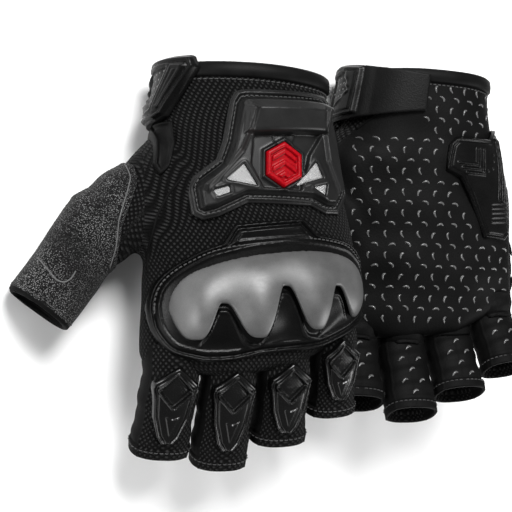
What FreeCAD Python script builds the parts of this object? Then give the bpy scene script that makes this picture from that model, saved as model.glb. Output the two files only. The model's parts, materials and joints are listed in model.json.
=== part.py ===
"""A pair of half-finger riding gloves: soft shells, hard knuckle armour, moulded guards and wrist straps.

Both gloves share one local frame: +X from the thumb side to the little-finger side, +Y towards the wrist,
+Z out of the back of the hand. The left glove is that shape placed palm down. The right glove is its mirror
image placed palm up. Every glove moves as one hand with four fingers, a thumb and a strap hinged to it.
"""
import FreeCAD, Part
import os
import Sketcher
from FreeCAD import Placement, Rotation, Vector

SIZES = {
    # hand shell: one oval section at each station along the hand
    "cuff_y": 94, "cuff_x": -2, "cuff_half_width": 38, "cuff_half_depth": 24,
    "wrist_y": 70, "wrist_x": -4, "wrist_half_width": 41, "wrist_half_depth": 23,
    "heel_y": 45, "heel_x": -3, "heel_half_width": 46.5, "heel_half_depth": 22.5,
    "palm_y": 20, "palm_x": 0, "palm_half_width": 50, "palm_half_depth": 21.5,
    "knuckle_y": -10, "knuckle_x": 0, "knuckle_half_width": 51.5, "knuckle_half_depth": 19.5,
    "web_y": -34, "web_x": 0, "web_half_width": 52, "web_half_depth": 16.5,
    "front_y": -60, "front_x": 0, "front_half_width": 52, "front_half_depth": 13,
    "shell_thickness": 1.6, "skin_gap": 0.3, "seam_gap": 0.1,
    # fingers: root place, width, length, direction in the palm plane and curl at rest
    "index_x": -38.2, "index_y": -44, "index_half_width": 13, "index_length": 32, "index_fan": -3,
    "middle_x": -11.6, "middle_y": -46, "middle_half_width": 12.8, "middle_length": 36, "middle_fan": 0,
    "ring_x": 14.8, "ring_y": -42, "ring_half_width": 12.6, "ring_length": 29, "ring_fan": 3,
    "little_x": 39.6, "little_y": -31, "little_half_width": 11.4, "little_length": 27, "little_fan": 6,
    "finger_half_depth": 10.8, "finger_growth": 0.5, "finger_flattening": 1,
    "left_curl": 25, "right_curl": 27,
    "finger_start": 0.5, "knuckle_clearance": 2,
    # thumb: a tube through three oval sections, hinged at its shoulder by the wrist
    "thumb_root_x": -38, "thumb_root_y": 43, "thumb_root_turn": 55, "thumb_root_half_width": 20,
    "thumb_root_half_depth": 17,
    "thumb_mid_x": -69, "thumb_mid_y": 23, "thumb_mid_turn": 38, "thumb_mid_half_width": 16,
    "thumb_mid_half_depth": 14,
    "thumb_hem_x": -97, "thumb_hem_y": -16, "thumb_hem_turn": 33, "thumb_hem_half_width": 14.5,
    "thumb_hem_half_depth": 12,
    "thumb_pivot_x": -52, "thumb_pivot_y": 62, "thumb_clearance": 0.6,
    "left_thumb_tuck": 0, "right_thumb_tuck": 20, "left_thumb_drop": 0, "right_thumb_drop": 0,
    # cuff and strap, stacked outwards from the shell
    "binding_width": 6.5, "binding_thickness": 1.7, "lining_length": 34, "lining_thickness": 1,
    "strap_low_y": 66, "strap_width": 27, "patch_inset": 6, "loop_thickness": 0.8, "strap_end_x": -19,
    "strap_root_x": -16, "hook_low": 1.7, "hook_high": 2.5, "strap_low": 2.6, "strap_high": 4.6,
    "frame_high": 6.8, "frame_low_x": -44, "frame_rim": 4, "frame_inset": 1, "insert_high": 5.6,
    "insert_gap": 0.2,
    # knuckle armour
    "guard_x": 0, "guard_y": -12, "guard_half_width": 48.5, "guard_half_length": 28, "base_thickness": 2.2,
    "shell_half_width": 45, "shell_half_length": 24, "shell_height": 26, "shell_centre_z": 6,
    "armour_thickness": 2, "shell_low": 2.5, "foam_gap": 0.3, "tab_length": 10, "tab_half_width": 22,
    # back plate and badge
    "plate_x": 7, "plate_low_y": 27, "plate_high_y": 80, "plate_low_half_width": 34,
    "plate_high_half_width": 19, "plate_thickness": 3.6, "plate_recess": 2.2, "plate_rim": 5,
    "badge_x": 9, "badge_y": 49, "badge_radius": 11.4, "badge_low_z": 24.9, "badge_thickness": 3.4,
    "badge_edge": 0.8,
    "window_y": 33, "window_high_y": 44, "window_side_x": 17, "window_half_width": 6,
    "window_low": 2.4, "window_high": 3.1,
    # palm slider and pad
    "slider_x": 30, "slider_y": 44, "slider_half_width": 24, "slider_half_length": 25,
    "slider_thickness": 3.4, "pad_x": -8, "pad_y": -8, "pad_half_width": 27, "pad_half_length": 16,
    "pad_thickness": 2.4,
    # finger guards and thumb patch
    "guard_start": 2, "guard_end_gap": 5, "finger_guard_half_width": 10, "finger_guard_tip": 3.5,
    "finger_guard_thickness": 3, "patch_thickness": 1.1, "patch_start": 36, "patch_end_gap": 1.5,
    "patch_half_width": 20,
    # webs between the fingers
    "web_depth": 9, "web_thickness": 1.2, "web_setback": 3,
    # how the two gloves lie
    "left_x": -30.34, "left_y": -10.99, "left_z": 43.63, "left_roll": -20, "left_pitch": -7,
    "right_x": 86.66, "right_y": 3.01, "right_z": 40.91, "right_roll": -25, "right_pitch": -4,
}
STATIONS = ["cuff", "wrist", "heel", "palm", "knuckle", "web", "front"]
FINGERS = ["index", "middle", "ring", "little"]
THUMB_STATIONS = ["root", "mid", "hem"]
BIG = 300
# how far the hollow forms run past the openings
OVERRUN = 2
THUMB_OVERRUN = 5

doc = FreeCAD.newDocument("RidingGloves")
sheet = doc.addObject("Spreadsheet::Sheet", "Sizes")


def fill_sheet():
    for row, (alias, value) in enumerate(SIZES.items(), start=1):
        sheet.set(f"A{row}", alias)
        sheet.set(f"B{row}", str(value))
        sheet.setAlias(f"B{row}", alias)
    doc.recompute()


def size(alias):
    return float(sheet.get(alias))


def bind(item, **expressions):
    """Bind properties to formulas in which a bare sheet alias stands for its cell."""
    for name, formula in expressions.items():
        path = name.replace("__", ".")
        item.setExpression(path, formula)


def cell(alias):
    return f"Sizes.{alias}"


def add(kind, name):
    return doc.addObject(kind, name)


def oval(name, half_width, half_depth, x, y, turn=0):
    """An upright oval section that faces along Y, turned about Z."""
    ring = add("Part::Ellipse", name)
    ring.Placement.Rotation = Rotation(Vector(0, 0, 1), turn) * Rotation(Vector(1, 0, 0), 90)
    bind(ring, MajorRadius=half_width, MinorRadius=half_depth,
         Placement__Base__x=x, Placement__Base__y=y)
    return ring


def loft(name, sections):
    body = add("Part::Loft", name)
    body.Sections = sections
    body.Solid = True
    return body


def cut(name, base, tool):
    result = add("Part::Cut", name)
    result.Base = base
    result.Tool = tool
    return result


def common(name, base, tool):
    result = add("Part::Common", name)
    result.Base = base
    result.Tool = tool
    return result


def fuse(name, pieces):
    result = add("Part::MultiFuse", name)
    result.Shapes = pieces
    return result


def box(name, x, y, z, length, width, height):
    """A block from its low corner and its sizes, all given as formulas."""
    block = add("Part::Box", name)
    bind(block, Length=length, Width=width, Height=height,
         Placement__Base__x=x, Placement__Base__y=y, Placement__Base__z=z)
    return block


def upper_space(name, floor):
    """Everything above a height, as one block."""
    return box(name, f"-{BIG / 2}", f"-{BIG / 2}", floor, f"{BIG}", f"{BIG}", f"{BIG}")


class Glove:
    """The shared solids of one glove, in the local frame, and the pieces cut from them."""

    def __init__(self, side):
        self.side = side
        self.forms = {}
        self.pieces = {}

    def named(self, name):
        return f"{self.side}_{name}"

    def keep(self, name, item):
        self.pieces[name] = item

    def hand_form(self, offset, overrun=0):
        """The solid hand shape, grown by an offset formula."""
        key = (offset, overrun)
        if key not in self.forms:
            tag = self.named(f"hand{len(self.forms)}")
            sections = []
            for station in STATIONS:
                shift = {"cuff": f"+ {overrun}", "front": f"- {overrun}"}.get(station, "")
                sections.append(oval(
                    f"{tag}_{station}", f"{cell(station + '_half_width')} + {offset}",
                    f"{cell(station + '_half_depth')} + {offset}", cell(station + "_x"),
                    f"{cell(station + '_y')} {shift}"))
            self.forms[key] = loft(tag, sections)
        return self.forms[key]

    def layer(self, name, low, high, outline):
        """The part of a skin-following layer that lies inside an outline solid."""
        between = cut(self.named(name + "_layer"), self.hand_form(high), self.hand_form(low))
        return common(self.named(name + "_cut"), between, outline)

    def finger_place(self, finger):
        """From the finger's own frame (root at the origin, pointing to -Y) to the glove frame."""
        fan = Rotation(Vector(0, 0, 1), size(finger + "_fan"))
        root = Placement(Vector(size(finger + "_x"), size(finger + "_y"), 0), fan)
        hinge = Vector(0, 0, -size("finger_half_depth"))
        curl = Placement(Vector(), Rotation(Vector(1, 0, 0), size(self.side + "_curl")), hinge)
        return root * curl

    def thumb_place(self):
        pivot = Vector(size("thumb_pivot_x"), size("thumb_pivot_y"), 0)
        tuck = Rotation(Vector(0, 0, 1), size(f"{self.side}_thumb_tuck"))
        drop = Rotation(Vector(1, 0, 0), size(f"{self.side}_thumb_drop"))
        return Placement(Vector(), drop * tuck, pivot)

    def thumb_form(self, name, offset, overrun=0):
        sections = []
        for station in THUMB_STATIONS:
            prefix = f"thumb_{station}"
            reach = overrun if station == "hem" else 0
            turn = -size(prefix + "_turn")
            lean = Rotation(Vector(0, 0, 1), turn).multVec(Vector(0, -reach, 0))
            sections.append(oval(
                self.named(f"{name}_{station}"), f"{cell(prefix + '_half_width')} + {offset}",
                f"{cell(prefix + '_half_depth')} + {offset}", f"{cell(prefix + '_x')} + {lean.x}",
                f"{cell(prefix + '_y')} + {lean.y}", turn))
        form = loft(self.named(name), sections)
        form.Placement = self.thumb_place()
        return form

    def front_cuts(self):
        """The blocks of space in front of the hand shell that the finger roots take."""
        blocks = []
        for finger in FINGERS:
            reach = f"{cell(finger + '_half_width')} + {cell('knuckle_clearance')}"
            block = box(self.named(finger + "_space"), f"-({reach})", f"-{BIG / 4}", f"-{BIG / 4}",
                        f"2 * ({reach})", f"{BIG / 4}", f"{BIG / 2}")
            root = Placement(Vector(size(finger + "_x"), size(finger + "_y"), 0),
                             Rotation(Vector(0, 0, 1), size(finger + "_fan")))
            moved = add("Part::Compound", self.named(finger + "_space_placed"))
            moved.Links = [block]
            moved.Placement = root
            blocks.append(moved)
        return fuse(self.named("finger_spaces"), blocks)

    def make_hand_shell(self):
        hollow = self.hand_form(f"-{cell('shell_thickness')}", OVERRUN)
        skin = cut(self.named("skin"), self.hand_form("0"), hollow)
        front = cut(self.named("skin_front"), skin, self.front_cuts())
        thumb_hole = self.thumb_form("thumb_hole", f"-{cell('shell_thickness')}", THUMB_OVERRUN)
        holed = cut(self.named("skin_holed"), front, thumb_hole)
        upper = upper_space(self.named("upper"), cell("seam_gap"))
        self.keep("back_panel", common(self.named("back"), holed, upper))
        self.keep("palm_panel", cut(self.named("front"), holed, upper))

    def make_cuff(self):
        band = box(self.named("cuff_band"), f"-{BIG / 2}", f"{cell('cuff_y')} - {cell('binding_width')}",
                   f"-{BIG / 2}", f"{BIG}", cell("binding_width"), f"{BIG}")
        self.keep("cuff_binding", self.layer("binding", cell("skin_gap"), cell("binding_thickness"), band))
        inner = f"-{cell('shell_thickness')} - {cell('skin_gap')} - {cell('lining_thickness')}"
        zone = box(self.named("lining_zone"), f"-{BIG / 2}", f"{cell('cuff_y')} - {cell('lining_length')}",
                   f"-{BIG / 2}", f"{BIG}", cell("lining_length"), f"{BIG}")
        shell = cut(self.named("lining_layer"),
                    self.hand_form(f"-{cell('shell_thickness')} - {cell('skin_gap')}"),
                    self.hand_form(inner, OVERRUN))
        self.keep("wrist_lining", common(self.named("lining"), shell, zone))

    def strap_zone(self, name, inset, end_x):
        """Both faces of the wrist, from the thumb side in to the given X."""
        return box(self.named(name), f"-{BIG / 2}", f"{cell('strap_low_y')} + {inset}", f"-{BIG / 2}",
                   f"{end_x} + {BIG / 2}", f"{cell('strap_width')} - 2 * {inset}", f"{BIG}")

    def frame_window(self, name, gap):
        """The space inside the strap frame's rim, smaller all round by a gap."""
        edge = f"({cell('frame_rim')} + {gap})"
        low = f"({cell('frame_inset')} + {edge})"
        return box(self.named(name),
                   f"{cell('frame_low_x')} + {edge}", f"{cell('strap_low_y')} + {low}", "0",
                   f"{cell('strap_end_x')} - {cell('frame_low_x')} - 2 * {edge}",
                   f"{cell('strap_width')} - 2 * {low}", f"{BIG / 4}")

    def make_strap(self):
        patch = self.strap_zone("loop_zone", cell("patch_inset"), cell("strap_end_x"))
        upper = upper_space(self.named("strap_upper"), cell("seam_gap"))
        loop = self.layer("loop", cell("skin_gap"), f"{cell('skin_gap')} + {cell('loop_thickness')}", patch)
        self.keep("loop_patch", common(self.named("loop_top"), loop, upper))
        hook = self.layer("hook", cell("hook_low"), cell("hook_high"), patch)
        self.keep("hook_patch", common(self.named("hook_top"), hook, upper))
        band = self.strap_zone("band_zone", "0", cell("strap_root_x"))
        self.keep("strap", self.layer("band", cell("strap_low"), cell("strap_high"), band))
        frame_zone = self.strap_zone("frame_zone", cell("frame_inset"), cell("strap_end_x"))
        above_strap = f"{cell('strap_high')} + {cell('seam_gap')}"
        frame = self.layer("frame", above_strap, cell("frame_high"), frame_zone)
        window = self.frame_window("frame_window", "0")
        framed = cut(self.named("frame_open"), common(self.named("frame_top"), frame, upper), window)
        self.keep("strap_frame", framed)
        opening = self.frame_window("insert_zone", cell("insert_gap"))
        self.keep("strap_insert", self.layer("insert", above_strap, cell("insert_high"), opening))

    def oval_prism(self, name, x, y, half_width, half_length, up=True):
        """A tall oval prism on one face of the hand."""
        ring = add("Part::Ellipse", self.named(name + "_ring"))
        bind(ring, MajorRadius=half_width, MinorRadius=half_length,
             Placement__Base__x=x, Placement__Base__y=y)
        prism = add("Part::Extrusion", self.named(name))
        prism.Base = ring
        prism.DirMode = "Custom"
        prism.Dir = Vector(0, 0, 1 if up else -1)
        prism.LengthFwd = BIG / 4
        prism.Solid = True
        return prism

    def dome(self, name, shrink):
        """The knuckle guard's dome: an ellipsoid centred inside the hand."""
        body = add("Part::Ellipsoid", self.named(name))
        body.Angle1 = -90
        body.Angle2 = 90
        body.Angle3 = 360
        bind(body, Radius1=f"{cell('shell_height')} - {shrink}",
             Radius2=f"{cell('shell_half_width')} - {shrink}",
             Radius3=f"{cell('shell_half_length')} - {shrink}", Placement__Base__x=cell("guard_x"),
             Placement__Base__y=cell("guard_y"), Placement__Base__z=cell("shell_centre_z"))
        return body

    def make_knuckle_armour(self):
        oval_base = self.oval_prism("base_outline", cell("guard_x"), cell("guard_y"),
                                    cell("guard_half_width"), cell("guard_half_length"))
        tab = box(self.named("base_tab"),
                  f"{cell('guard_x')} - {cell('tab_half_width')}", cell("guard_y"), "0",
                  f"2 * {cell('tab_half_width')}", f"{cell('guard_half_length')} + {cell('tab_length')}",
                  f"{BIG / 4}")
        outline = fuse(self.named("base_area"), [oval_base, tab])
        self.keep("knuckle_base", self.layer("base", cell("skin_gap"), cell("base_thickness"), outline))
        seat = self.hand_form(cell("shell_low"))
        upper = upper_space(self.named("dome_upper"), cell("seam_gap"))
        dome_shell = cut(self.named("dome_shell"), self.dome("dome", "0"),
                         self.dome("dome_hollow", cell("armour_thickness")))
        top = common(self.named("dome_top"), dome_shell, upper)
        self.keep("knuckle_shell", cut(self.named("dome_seated"), top, seat))
        filling = common(self.named("foam_top"), self.dome("foam", f"({cell('armour_thickness')} + "
                                                           f"{cell('foam_gap')})"), upper)
        self.keep("knuckle_foam", cut(self.named("foam_seated"), filling, seat))

    def trapezium(self, name, inset):
        """The back plate's outline as a tall prism, inset all round."""
        wedge = add("Part::Wedge", self.named(name))
        low = f"{cell('plate_low_half_width')} - {inset}"
        high = f"{cell('plate_high_half_width')} - {inset}"
        bind(wedge, Ymin=f"{cell('plate_low_y')} + {inset}", Ymax=f"{cell('plate_high_y')} - {inset}",
             Xmin=f"{cell('plate_x')} - ({low})", Xmax=f"{cell('plate_x')} + {low}",
             X2min=f"{cell('plate_x')} - ({high})", X2max=f"{cell('plate_x')} + {high}")
        wedge.Zmin = 0
        wedge.Z2min = 0
        wedge.Zmax = BIG / 4
        wedge.Z2max = BIG / 4
        return wedge

    def make_back_plate(self):
        outline = self.trapezium("plate_outline", "0")
        slab = self.layer("plate", cell("skin_gap"), cell("plate_thickness"), outline)
        recess = self.layer("recess", cell("plate_recess"), f"{cell('plate_thickness')} + 1",
                            self.trapezium("recess_outline", cell("plate_rim")))
        self.keep("back_plate", cut(self.named("plate_recessed"), slab, recess))
        windows = []
        for index, direction in enumerate((-1, 1)):
            wedge = add("Part::Wedge", self.named(f"window_{index}"))
            middle = f"{cell('plate_x')} + {direction} * {cell('window_side_x')}"
            edge = f"{middle} - {direction} * {cell('window_half_width')}"
            bind(wedge, Ymin=cell("window_y"), Ymax=cell("window_high_y"),
                 Xmin=f"{middle} - {cell('window_half_width')}",
                 Xmax=f"{middle} + {cell('window_half_width')}",
                 X2min=f"{edge} - 0.5", X2max=f"{edge} + 0.5")
            wedge.Zmin = 0
            wedge.Z2min = 0
            wedge.Zmax = BIG / 4
            wedge.Z2max = BIG / 4
            windows.append(wedge)
        area = fuse(self.named("window_area"), windows)
        self.keep("plate_mesh", self.layer("mesh", cell("window_low"), cell("window_high"), area))

    def make_badge(self):
        """A chamfered hexagonal badge, made flat and seated on the plate."""
        body = add("PartDesign::Body", self.named("badge_body"))
        sketch = body.newObject("Sketcher::SketchObject", self.named("badge_outline"))
        plane = next(item for item in body.Origin.OriginFeatures if item.Role == "XY_Plane")
        sketch.AttachmentSupport = [(plane, "")]
        sketch.MapMode = "FlatFace"
        corners = [Rotation(Vector(0, 0, 1), 60 * k + 30).multVec(Vector(size("badge_radius"), 0, 0))
                   for k in range(6)]
        for k, corner in enumerate(corners):
            sketch.addGeometry(Part.LineSegment(corner, corners[(k + 1) % 6]), False)
        circle = sketch.addGeometry(Part.Circle(Vector(), Vector(0, 0, 1), size("badge_radius")), True)
        for k in range(6):
            sketch.addConstraint(Sketcher.Constraint("Coincident", k, 2, (k + 1) % 6, 1))
            sketch.addConstraint(Sketcher.Constraint("PointOnObject", k, 1, circle))
        for k in range(5):
            sketch.addConstraint(Sketcher.Constraint("Equal", k, k + 1))
        sketch.addConstraint(Sketcher.Constraint("Coincident", circle, 3, -1, 1))
        sketch.addConstraint(Sketcher.Constraint("Vertical", 5))
        radius = sketch.addConstraint(Sketcher.Constraint("Radius", circle, size("badge_radius")))
        sketch.setExpression(f"Constraints[{radius}]", cell("badge_radius"))
        pad = body.newObject("PartDesign::Pad", self.named("badge_pad"))
        pad.Profile = sketch
        bind(pad, Length=cell("badge_thickness"))
        doc.recompute()
        chamfer = body.newObject("PartDesign::Chamfer", self.named("badge_chamfer"))
        top = max(range(len(pad.Shape.Faces)), key=lambda n: pad.Shape.Faces[n].CenterOfMass.z)
        chamfer.Base = (pad, [f"Face{top + 1}"])
        bind(chamfer, Size=cell("badge_edge"))
        body.Placement.Base = Vector(size("badge_x"), size("badge_y"), size("badge_low_z"))
        self.keep("badge", body)

    def make_palm_parts(self):
        outline = self.oval_prism("slider_outline", cell("slider_x"), cell("slider_y"),
                                  cell("slider_half_length"), cell("slider_half_width"), False)
        self.keep("palm_slider", self.layer("slider", cell("skin_gap"), cell("slider_thickness"), outline))
        pad_outline = self.oval_prism("pad_outline", cell("pad_x"), cell("pad_y"),
                                      cell("pad_half_width"), cell("pad_half_length"), False)
        low = f"-{cell('shell_thickness')} - {cell('skin_gap')} - {cell('pad_thickness')}"
        high = f"-{cell('shell_thickness')} - {cell('skin_gap')}"
        self.keep("palm_pad", self.layer("pad", low, high, pad_outline))

    def make_webs(self):
        """Three fork pieces that close the shell between neighbouring finger roots."""
        pieces = []
        for left, right in zip(FINGERS, FINGERS[1:]):
            middle = (f"0.5 * ({cell(left + '_x')} + {cell(left + '_half_width')} + "
                      f"{cell(right + '_x')} - {cell(right + '_half_width')})")
            place = f"max({cell(left + '_y')}; {cell(right + '_y')}) + {cell('web_setback')}"
            pieces.append(box(self.named(f"web_{left}"), f"{middle} - 0.5 * {cell('web_thickness')}", place,
                              f"-{cell('web_depth')}", cell("web_thickness"), cell("web_setback"),
                              f"2 * {cell('web_depth')}"))
        webs = add("Part::Compound", self.named("webs"))
        webs.Links = pieces
        self.keep("finger_webs", webs)

    def finger_form(self, name, finger, offset, start, end):
        """A straight oval tube body in the finger's own frame."""
        sections = []
        for label, place, grow, flat in (("root", start, "0", "0"),
                                         ("hem", end, cell("finger_growth"), cell("finger_flattening"))):
            sections.append(oval(self.named(f"{name}_{label}"),
                                 f"{cell(finger + '_half_width')} + {grow} + {offset}",
                                 f"{cell('finger_half_depth')} - {flat} + {offset}", "0", f"-({place})"))
        return loft(self.named(name), sections)

    def placed(self, name, item, place):
        moved = add("Part::Compound", self.named(name))
        moved.Links = [item]
        moved.Placement = place
        return moved

    def make_finger(self, finger):
        start = cell("finger_start")
        end = cell(finger + "_length")
        outer = self.finger_form(f"{finger}_outer", finger, "0", start, end)
        inner = self.finger_form(f"{finger}_inner", finger, f"-{cell('shell_thickness')}",
                                 f"{start} - {OVERRUN}", f"{end} + {OVERRUN}")
        tube = cut(self.named(f"{finger}_tube"), outer, inner)
        self.keep(f"{finger}_sleeve", self.placed(f"{finger}_tube_placed", tube, self.finger_place(finger)))
        low = self.finger_form(f"{finger}_guard_low", finger, cell("skin_gap"), start, end)
        high = self.finger_form(f"{finger}_guard_high", finger, cell("finger_guard_thickness"), start, end)
        layer = cut(self.named(f"{finger}_guard_layer"), high, low)
        wedge = add("Part::Wedge", self.named(f"{finger}_guard_outline"))
        wide = cell("finger_guard_half_width")
        tip = cell("finger_guard_tip")
        bind(wedge, Ymin=f"-({end}) + {cell('guard_end_gap')}", Ymax=f"-{cell('guard_start')}",
             Xmin=f"-{tip}", Xmax=tip, X2min=f"-{wide}", X2max=wide)
        wedge.Zmin = 0
        wedge.Z2min = 0
        wedge.Zmax = BIG / 4
        wedge.Z2max = BIG / 4
        guard = common(self.named(f"{finger}_guard_cut"), layer, wedge)
        self.keep(f"{finger}_guard", self.placed(f"{finger}_guard_placed", guard, self.finger_place(finger)))

    def make_thumb(self):
        outer = self.thumb_form("thumb_outer", "0")
        inner = self.thumb_form("thumb_inner", f"-{cell('shell_thickness')}", THUMB_OVERRUN)
        tube = cut(self.named("thumb_tube"), outer, inner)
        clear = self.hand_form(cell("thumb_clearance"))
        self.keep("thumb_sleeve", cut(self.named("thumb_trimmed"), tube, clear))
        low = self.thumb_form("thumb_patch_low", cell("skin_gap"))
        high = self.thumb_form("thumb_patch_high", cell("patch_thickness"))
        layer = cut(self.named("thumb_patch_layer"), high, low)
        side = cell("patch_half_width")
        zone = box(self.named("thumb_patch_zone"),
                   f"-{side}", f"-{cell('patch_start')} + {cell('patch_end_gap')}", "0",
                   f"2 * {side}", cell("patch_start"), f"2 * {side}")
        turn = Rotation(Vector(0, 0, 1), -size("thumb_hem_turn"))
        hem = Placement(Vector(size("thumb_hem_x"), size("thumb_hem_y"), 0), turn)
        back = Placement(Vector(0, size("patch_start"), 0), Rotation())
        zone_placed = self.placed("thumb_patch_area", zone, self.thumb_place() * hem * back)
        whole = common(self.named("thumb_patch_whole"), layer, zone_placed)
        self.keep("thumb_patch", cut(self.named("thumb_patch_cut"), whole, clear))

    def build(self):
        self.make_hand_shell()
        self.make_cuff()
        self.make_strap()
        self.make_knuckle_armour()
        self.make_back_plate()
        self.make_badge()
        self.make_palm_parts()
        self.make_webs()
        self.make_thumb()
        for finger in FINGERS:
            self.make_finger(finger)

    def lay(self):
        """How the glove lies: pitched along the hand, then rolled about its length, then moved."""
        roll = Rotation(Vector(0, 1, 0), size(self.side + "_roll"))
        pitch = Rotation(Vector(1, 0, 0), size(self.side + "_pitch"))
        place = Vector(size(self.side + "_x"), size(self.side + "_y"), size(self.side + "_z"))
        return Placement(place, roll * pitch)

    def finish(self):
        """Place every piece in the pair's frame; the right glove is mirrored through its palm plane."""
        nodes = []
        for name, item in self.pieces.items():
            kind = "Part::Mirroring" if self.side == "right" else "Part::Compound"
            node = add(kind, f"{self.side}_{name}_node")
            if self.side == "right":
                node.Source = item
                node.Base = Vector()
                node.Normal = Vector(0, 0, 1)
            else:
                node.Links = [item]
            node.Placement = self.lay()
            node.Label = f"{self.side}_{name}"
            nodes.append(node)
        return nodes


def check(nodes):
    for item in doc.Objects:
        if "Invalid" in item.State or "Error" in item.State:
            raise RuntimeError(f"{item.Name} did not compute: {item.State}")
    for node in nodes:
        if node.Shape.isNull() or not node.Shape.isValid() or not node.Shape.Solids:
            raise RuntimeError(f"{node.Label} is not a valid solid")


def main():
    fill_sheet()
    nodes = []
    for side in ("left", "right"):
        glove = Glove(side)
        glove.build()
        nodes += glove.finish()
    doc.recompute()
    check(nodes)
    os.makedirs("parts", exist_ok=True)
    for node in nodes:
        node.Shape.exportStep(f"parts/{node.Label}.step")
        print(node.Label, len(node.Shape.Solids), round(node.Shape.Volume))


main()
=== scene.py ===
"""The looks of a pair of half-finger riding gloves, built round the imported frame.

Shapes are made in one glove's own frame, in millimetres: +X to the little-finger side, +Y to the wrist and
+Z out of the back of the hand. build() moves them to where the frame's joints say that each glove lies, in
metres, and mirrors the right one.
"""
import json
import math
import random

import bmesh
import bpy
import numpy as np
import openvdb
from mathutils import Matrix, Vector


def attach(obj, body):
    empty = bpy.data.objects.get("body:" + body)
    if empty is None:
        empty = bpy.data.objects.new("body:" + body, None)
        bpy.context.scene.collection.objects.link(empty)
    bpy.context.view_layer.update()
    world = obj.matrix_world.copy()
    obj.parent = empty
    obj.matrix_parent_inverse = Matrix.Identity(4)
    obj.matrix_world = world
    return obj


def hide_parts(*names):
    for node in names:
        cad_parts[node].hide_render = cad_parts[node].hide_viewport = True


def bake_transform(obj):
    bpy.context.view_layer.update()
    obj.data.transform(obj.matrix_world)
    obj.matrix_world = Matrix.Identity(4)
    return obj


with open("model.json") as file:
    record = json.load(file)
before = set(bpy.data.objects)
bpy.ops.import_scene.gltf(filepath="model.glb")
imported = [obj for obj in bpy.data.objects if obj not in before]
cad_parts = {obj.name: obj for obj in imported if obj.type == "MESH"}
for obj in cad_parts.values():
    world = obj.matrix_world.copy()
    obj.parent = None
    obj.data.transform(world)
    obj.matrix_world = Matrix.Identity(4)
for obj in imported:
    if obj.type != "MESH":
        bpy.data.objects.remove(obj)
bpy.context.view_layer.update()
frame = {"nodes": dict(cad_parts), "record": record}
MM = 0.001
FINGERS = ("index", "middle", "ring", "little")

# ---------------------------------------------------------------- the glove's measurements, in millimetres
# cross sections along the hand, from the wrist to the finger roots: place, middle, half width and half depth
STATION_Y = (94, 70, 45, 20, -10, -34, -60)
STATION_X = (-2, -4, -3, 0, 0, 0, 0)
STATION_WIDE = (38, 41, 46.5, 50, 51.5, 52, 52)
STATION_DEEP = (24, 23, 22.5, 21.5, 19.5, 16.5, 13)
SECTION_POWER = 2.15
EASE_SPAN = 17
# the line of the finger roots across the hand
FRONT_X, FRONT_Y = (-52, -38, -12, 15, 33, 52), (-41, -43, -45, -41, -33, -28)
ROOT = {"index": (-38.2, -44), "middle": (-11.6, -46), "ring": (14.8, -42), "little": (39.6, -31)}
HALF_WIDTH = {"index": 13, "middle": 12.8, "ring": 12.6, "little": 11.4}
LENGTH = {"index": 32, "middle": 36, "ring": 29, "little": 27}
FAN = {"index": -3, "middle": 0, "ring": 3, "little": 6}
CURL = {"left": 25, "right": 27}
FINGER_DEEP = 10.8
FINGER_POWER = 2.5
# the thumb from its crotch to its hem: middle, half width and half depth
THUMB = (((-38, 43), 20, 17), ((-69, 23), 16, 14), ((-97, -16), 14.5, 12))
THUMB_END = THUMB[-1][0]
# how far the thumb's form runs past its hem, where it is cut
THUMB_OVERRUN = 7
THUMB_TUCK = {"left": 0, "right": 20}
# the angles between the hand's length and the thumb's last part, its suede patch and the run of its cloth
THUMB_LEAN, PATCH_LEAN, WEAVE_LEAN = math.radians(33), math.radians(36), math.radians(35)
THUMB_PIVOT = Vector((-52, 62, 0))
THUMB_SPLIT_X = -54
STRAP_HINGE = (-16, 79.5, -28)
CUFF_Y = 94
# how far the hand and the parts of the thumb melt into each other
WEB_BLEND = 9
# the thickness of the outer cloth and of the lining
CLOTH, LINING = 1.4, 0.9
Y_TABLE = np.arange(-70.0, 125.0, 1.0)


def smoothed(values):
    """Station values along the hand, eased so that the outline has no corners."""
    order = np.argsort(STATION_Y)
    line = np.interp(Y_TABLE, np.array(STATION_Y)[order], np.array(values, float)[order])
    kernel = np.ones(EASE_SPAN) / EASE_SPAN
    return np.convolve(np.pad(line, EASE_SPAN // 2, mode="edge"), kernel, mode="valid")


TABLE_X, TABLE_WIDE, TABLE_DEEP = smoothed(STATION_X), smoothed(STATION_WIDE), smoothed(STATION_DEEP)


def hand_section(y):
    """The hand's middle, half width and half depth at y."""
    return [np.interp(y, Y_TABLE, table) for table in (TABLE_X, TABLE_WIDE, TABLE_DEEP)]


# ---------------------------------------------------------------- distance fields
def rounded_distance(offsets, radii, power, flattest):
    """Near its surface, the signed distance to an oval or a dome with squared-off shoulders."""
    parts = [np.abs(offset) / radius for offset, radius in zip(offsets, radii)]
    f = sum(part ** power for part in parts) ** (1 / power) + 1e-6
    slope = np.sqrt(sum((part ** (power - 1) / radius) ** 2 for part, radius in zip(parts, radii)))
    return (f - 1) / np.maximum(slope / f ** (power - 1), flattest)


def oval_distance(x, z, wide, deep, power=SECTION_POWER):
    return rounded_distance((x, z), (wide, deep), power, 1 / max(np.max(wide), 1))


def oval_point(angle, wide, deep, power):
    """The point of such an oval at an angle."""
    c, s = np.cos(angle), np.sin(angle)
    return wide * np.sign(c) * np.abs(c) ** (2 / power), deep * np.sign(s) * np.abs(s) ** (2 / power)


def smooth_min(a, b, k):
    mix = np.clip(0.5 + 0.5 * (b - a) / k, 0, 1)
    return b + (a - b) * mix - k * mix * (1 - mix)


def smooth_max(a, b, k):
    return -smooth_min(-a, -b, k)


def ease(value, low, high):
    t = np.clip((value - low) / (high - low), 0, 1)
    return t * t * (3 - 2 * t)


def hand_distance(x, y, z):
    centre, wide, deep = hand_section(y)
    return oval_distance(x - centre, z, wide, deep)


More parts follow.
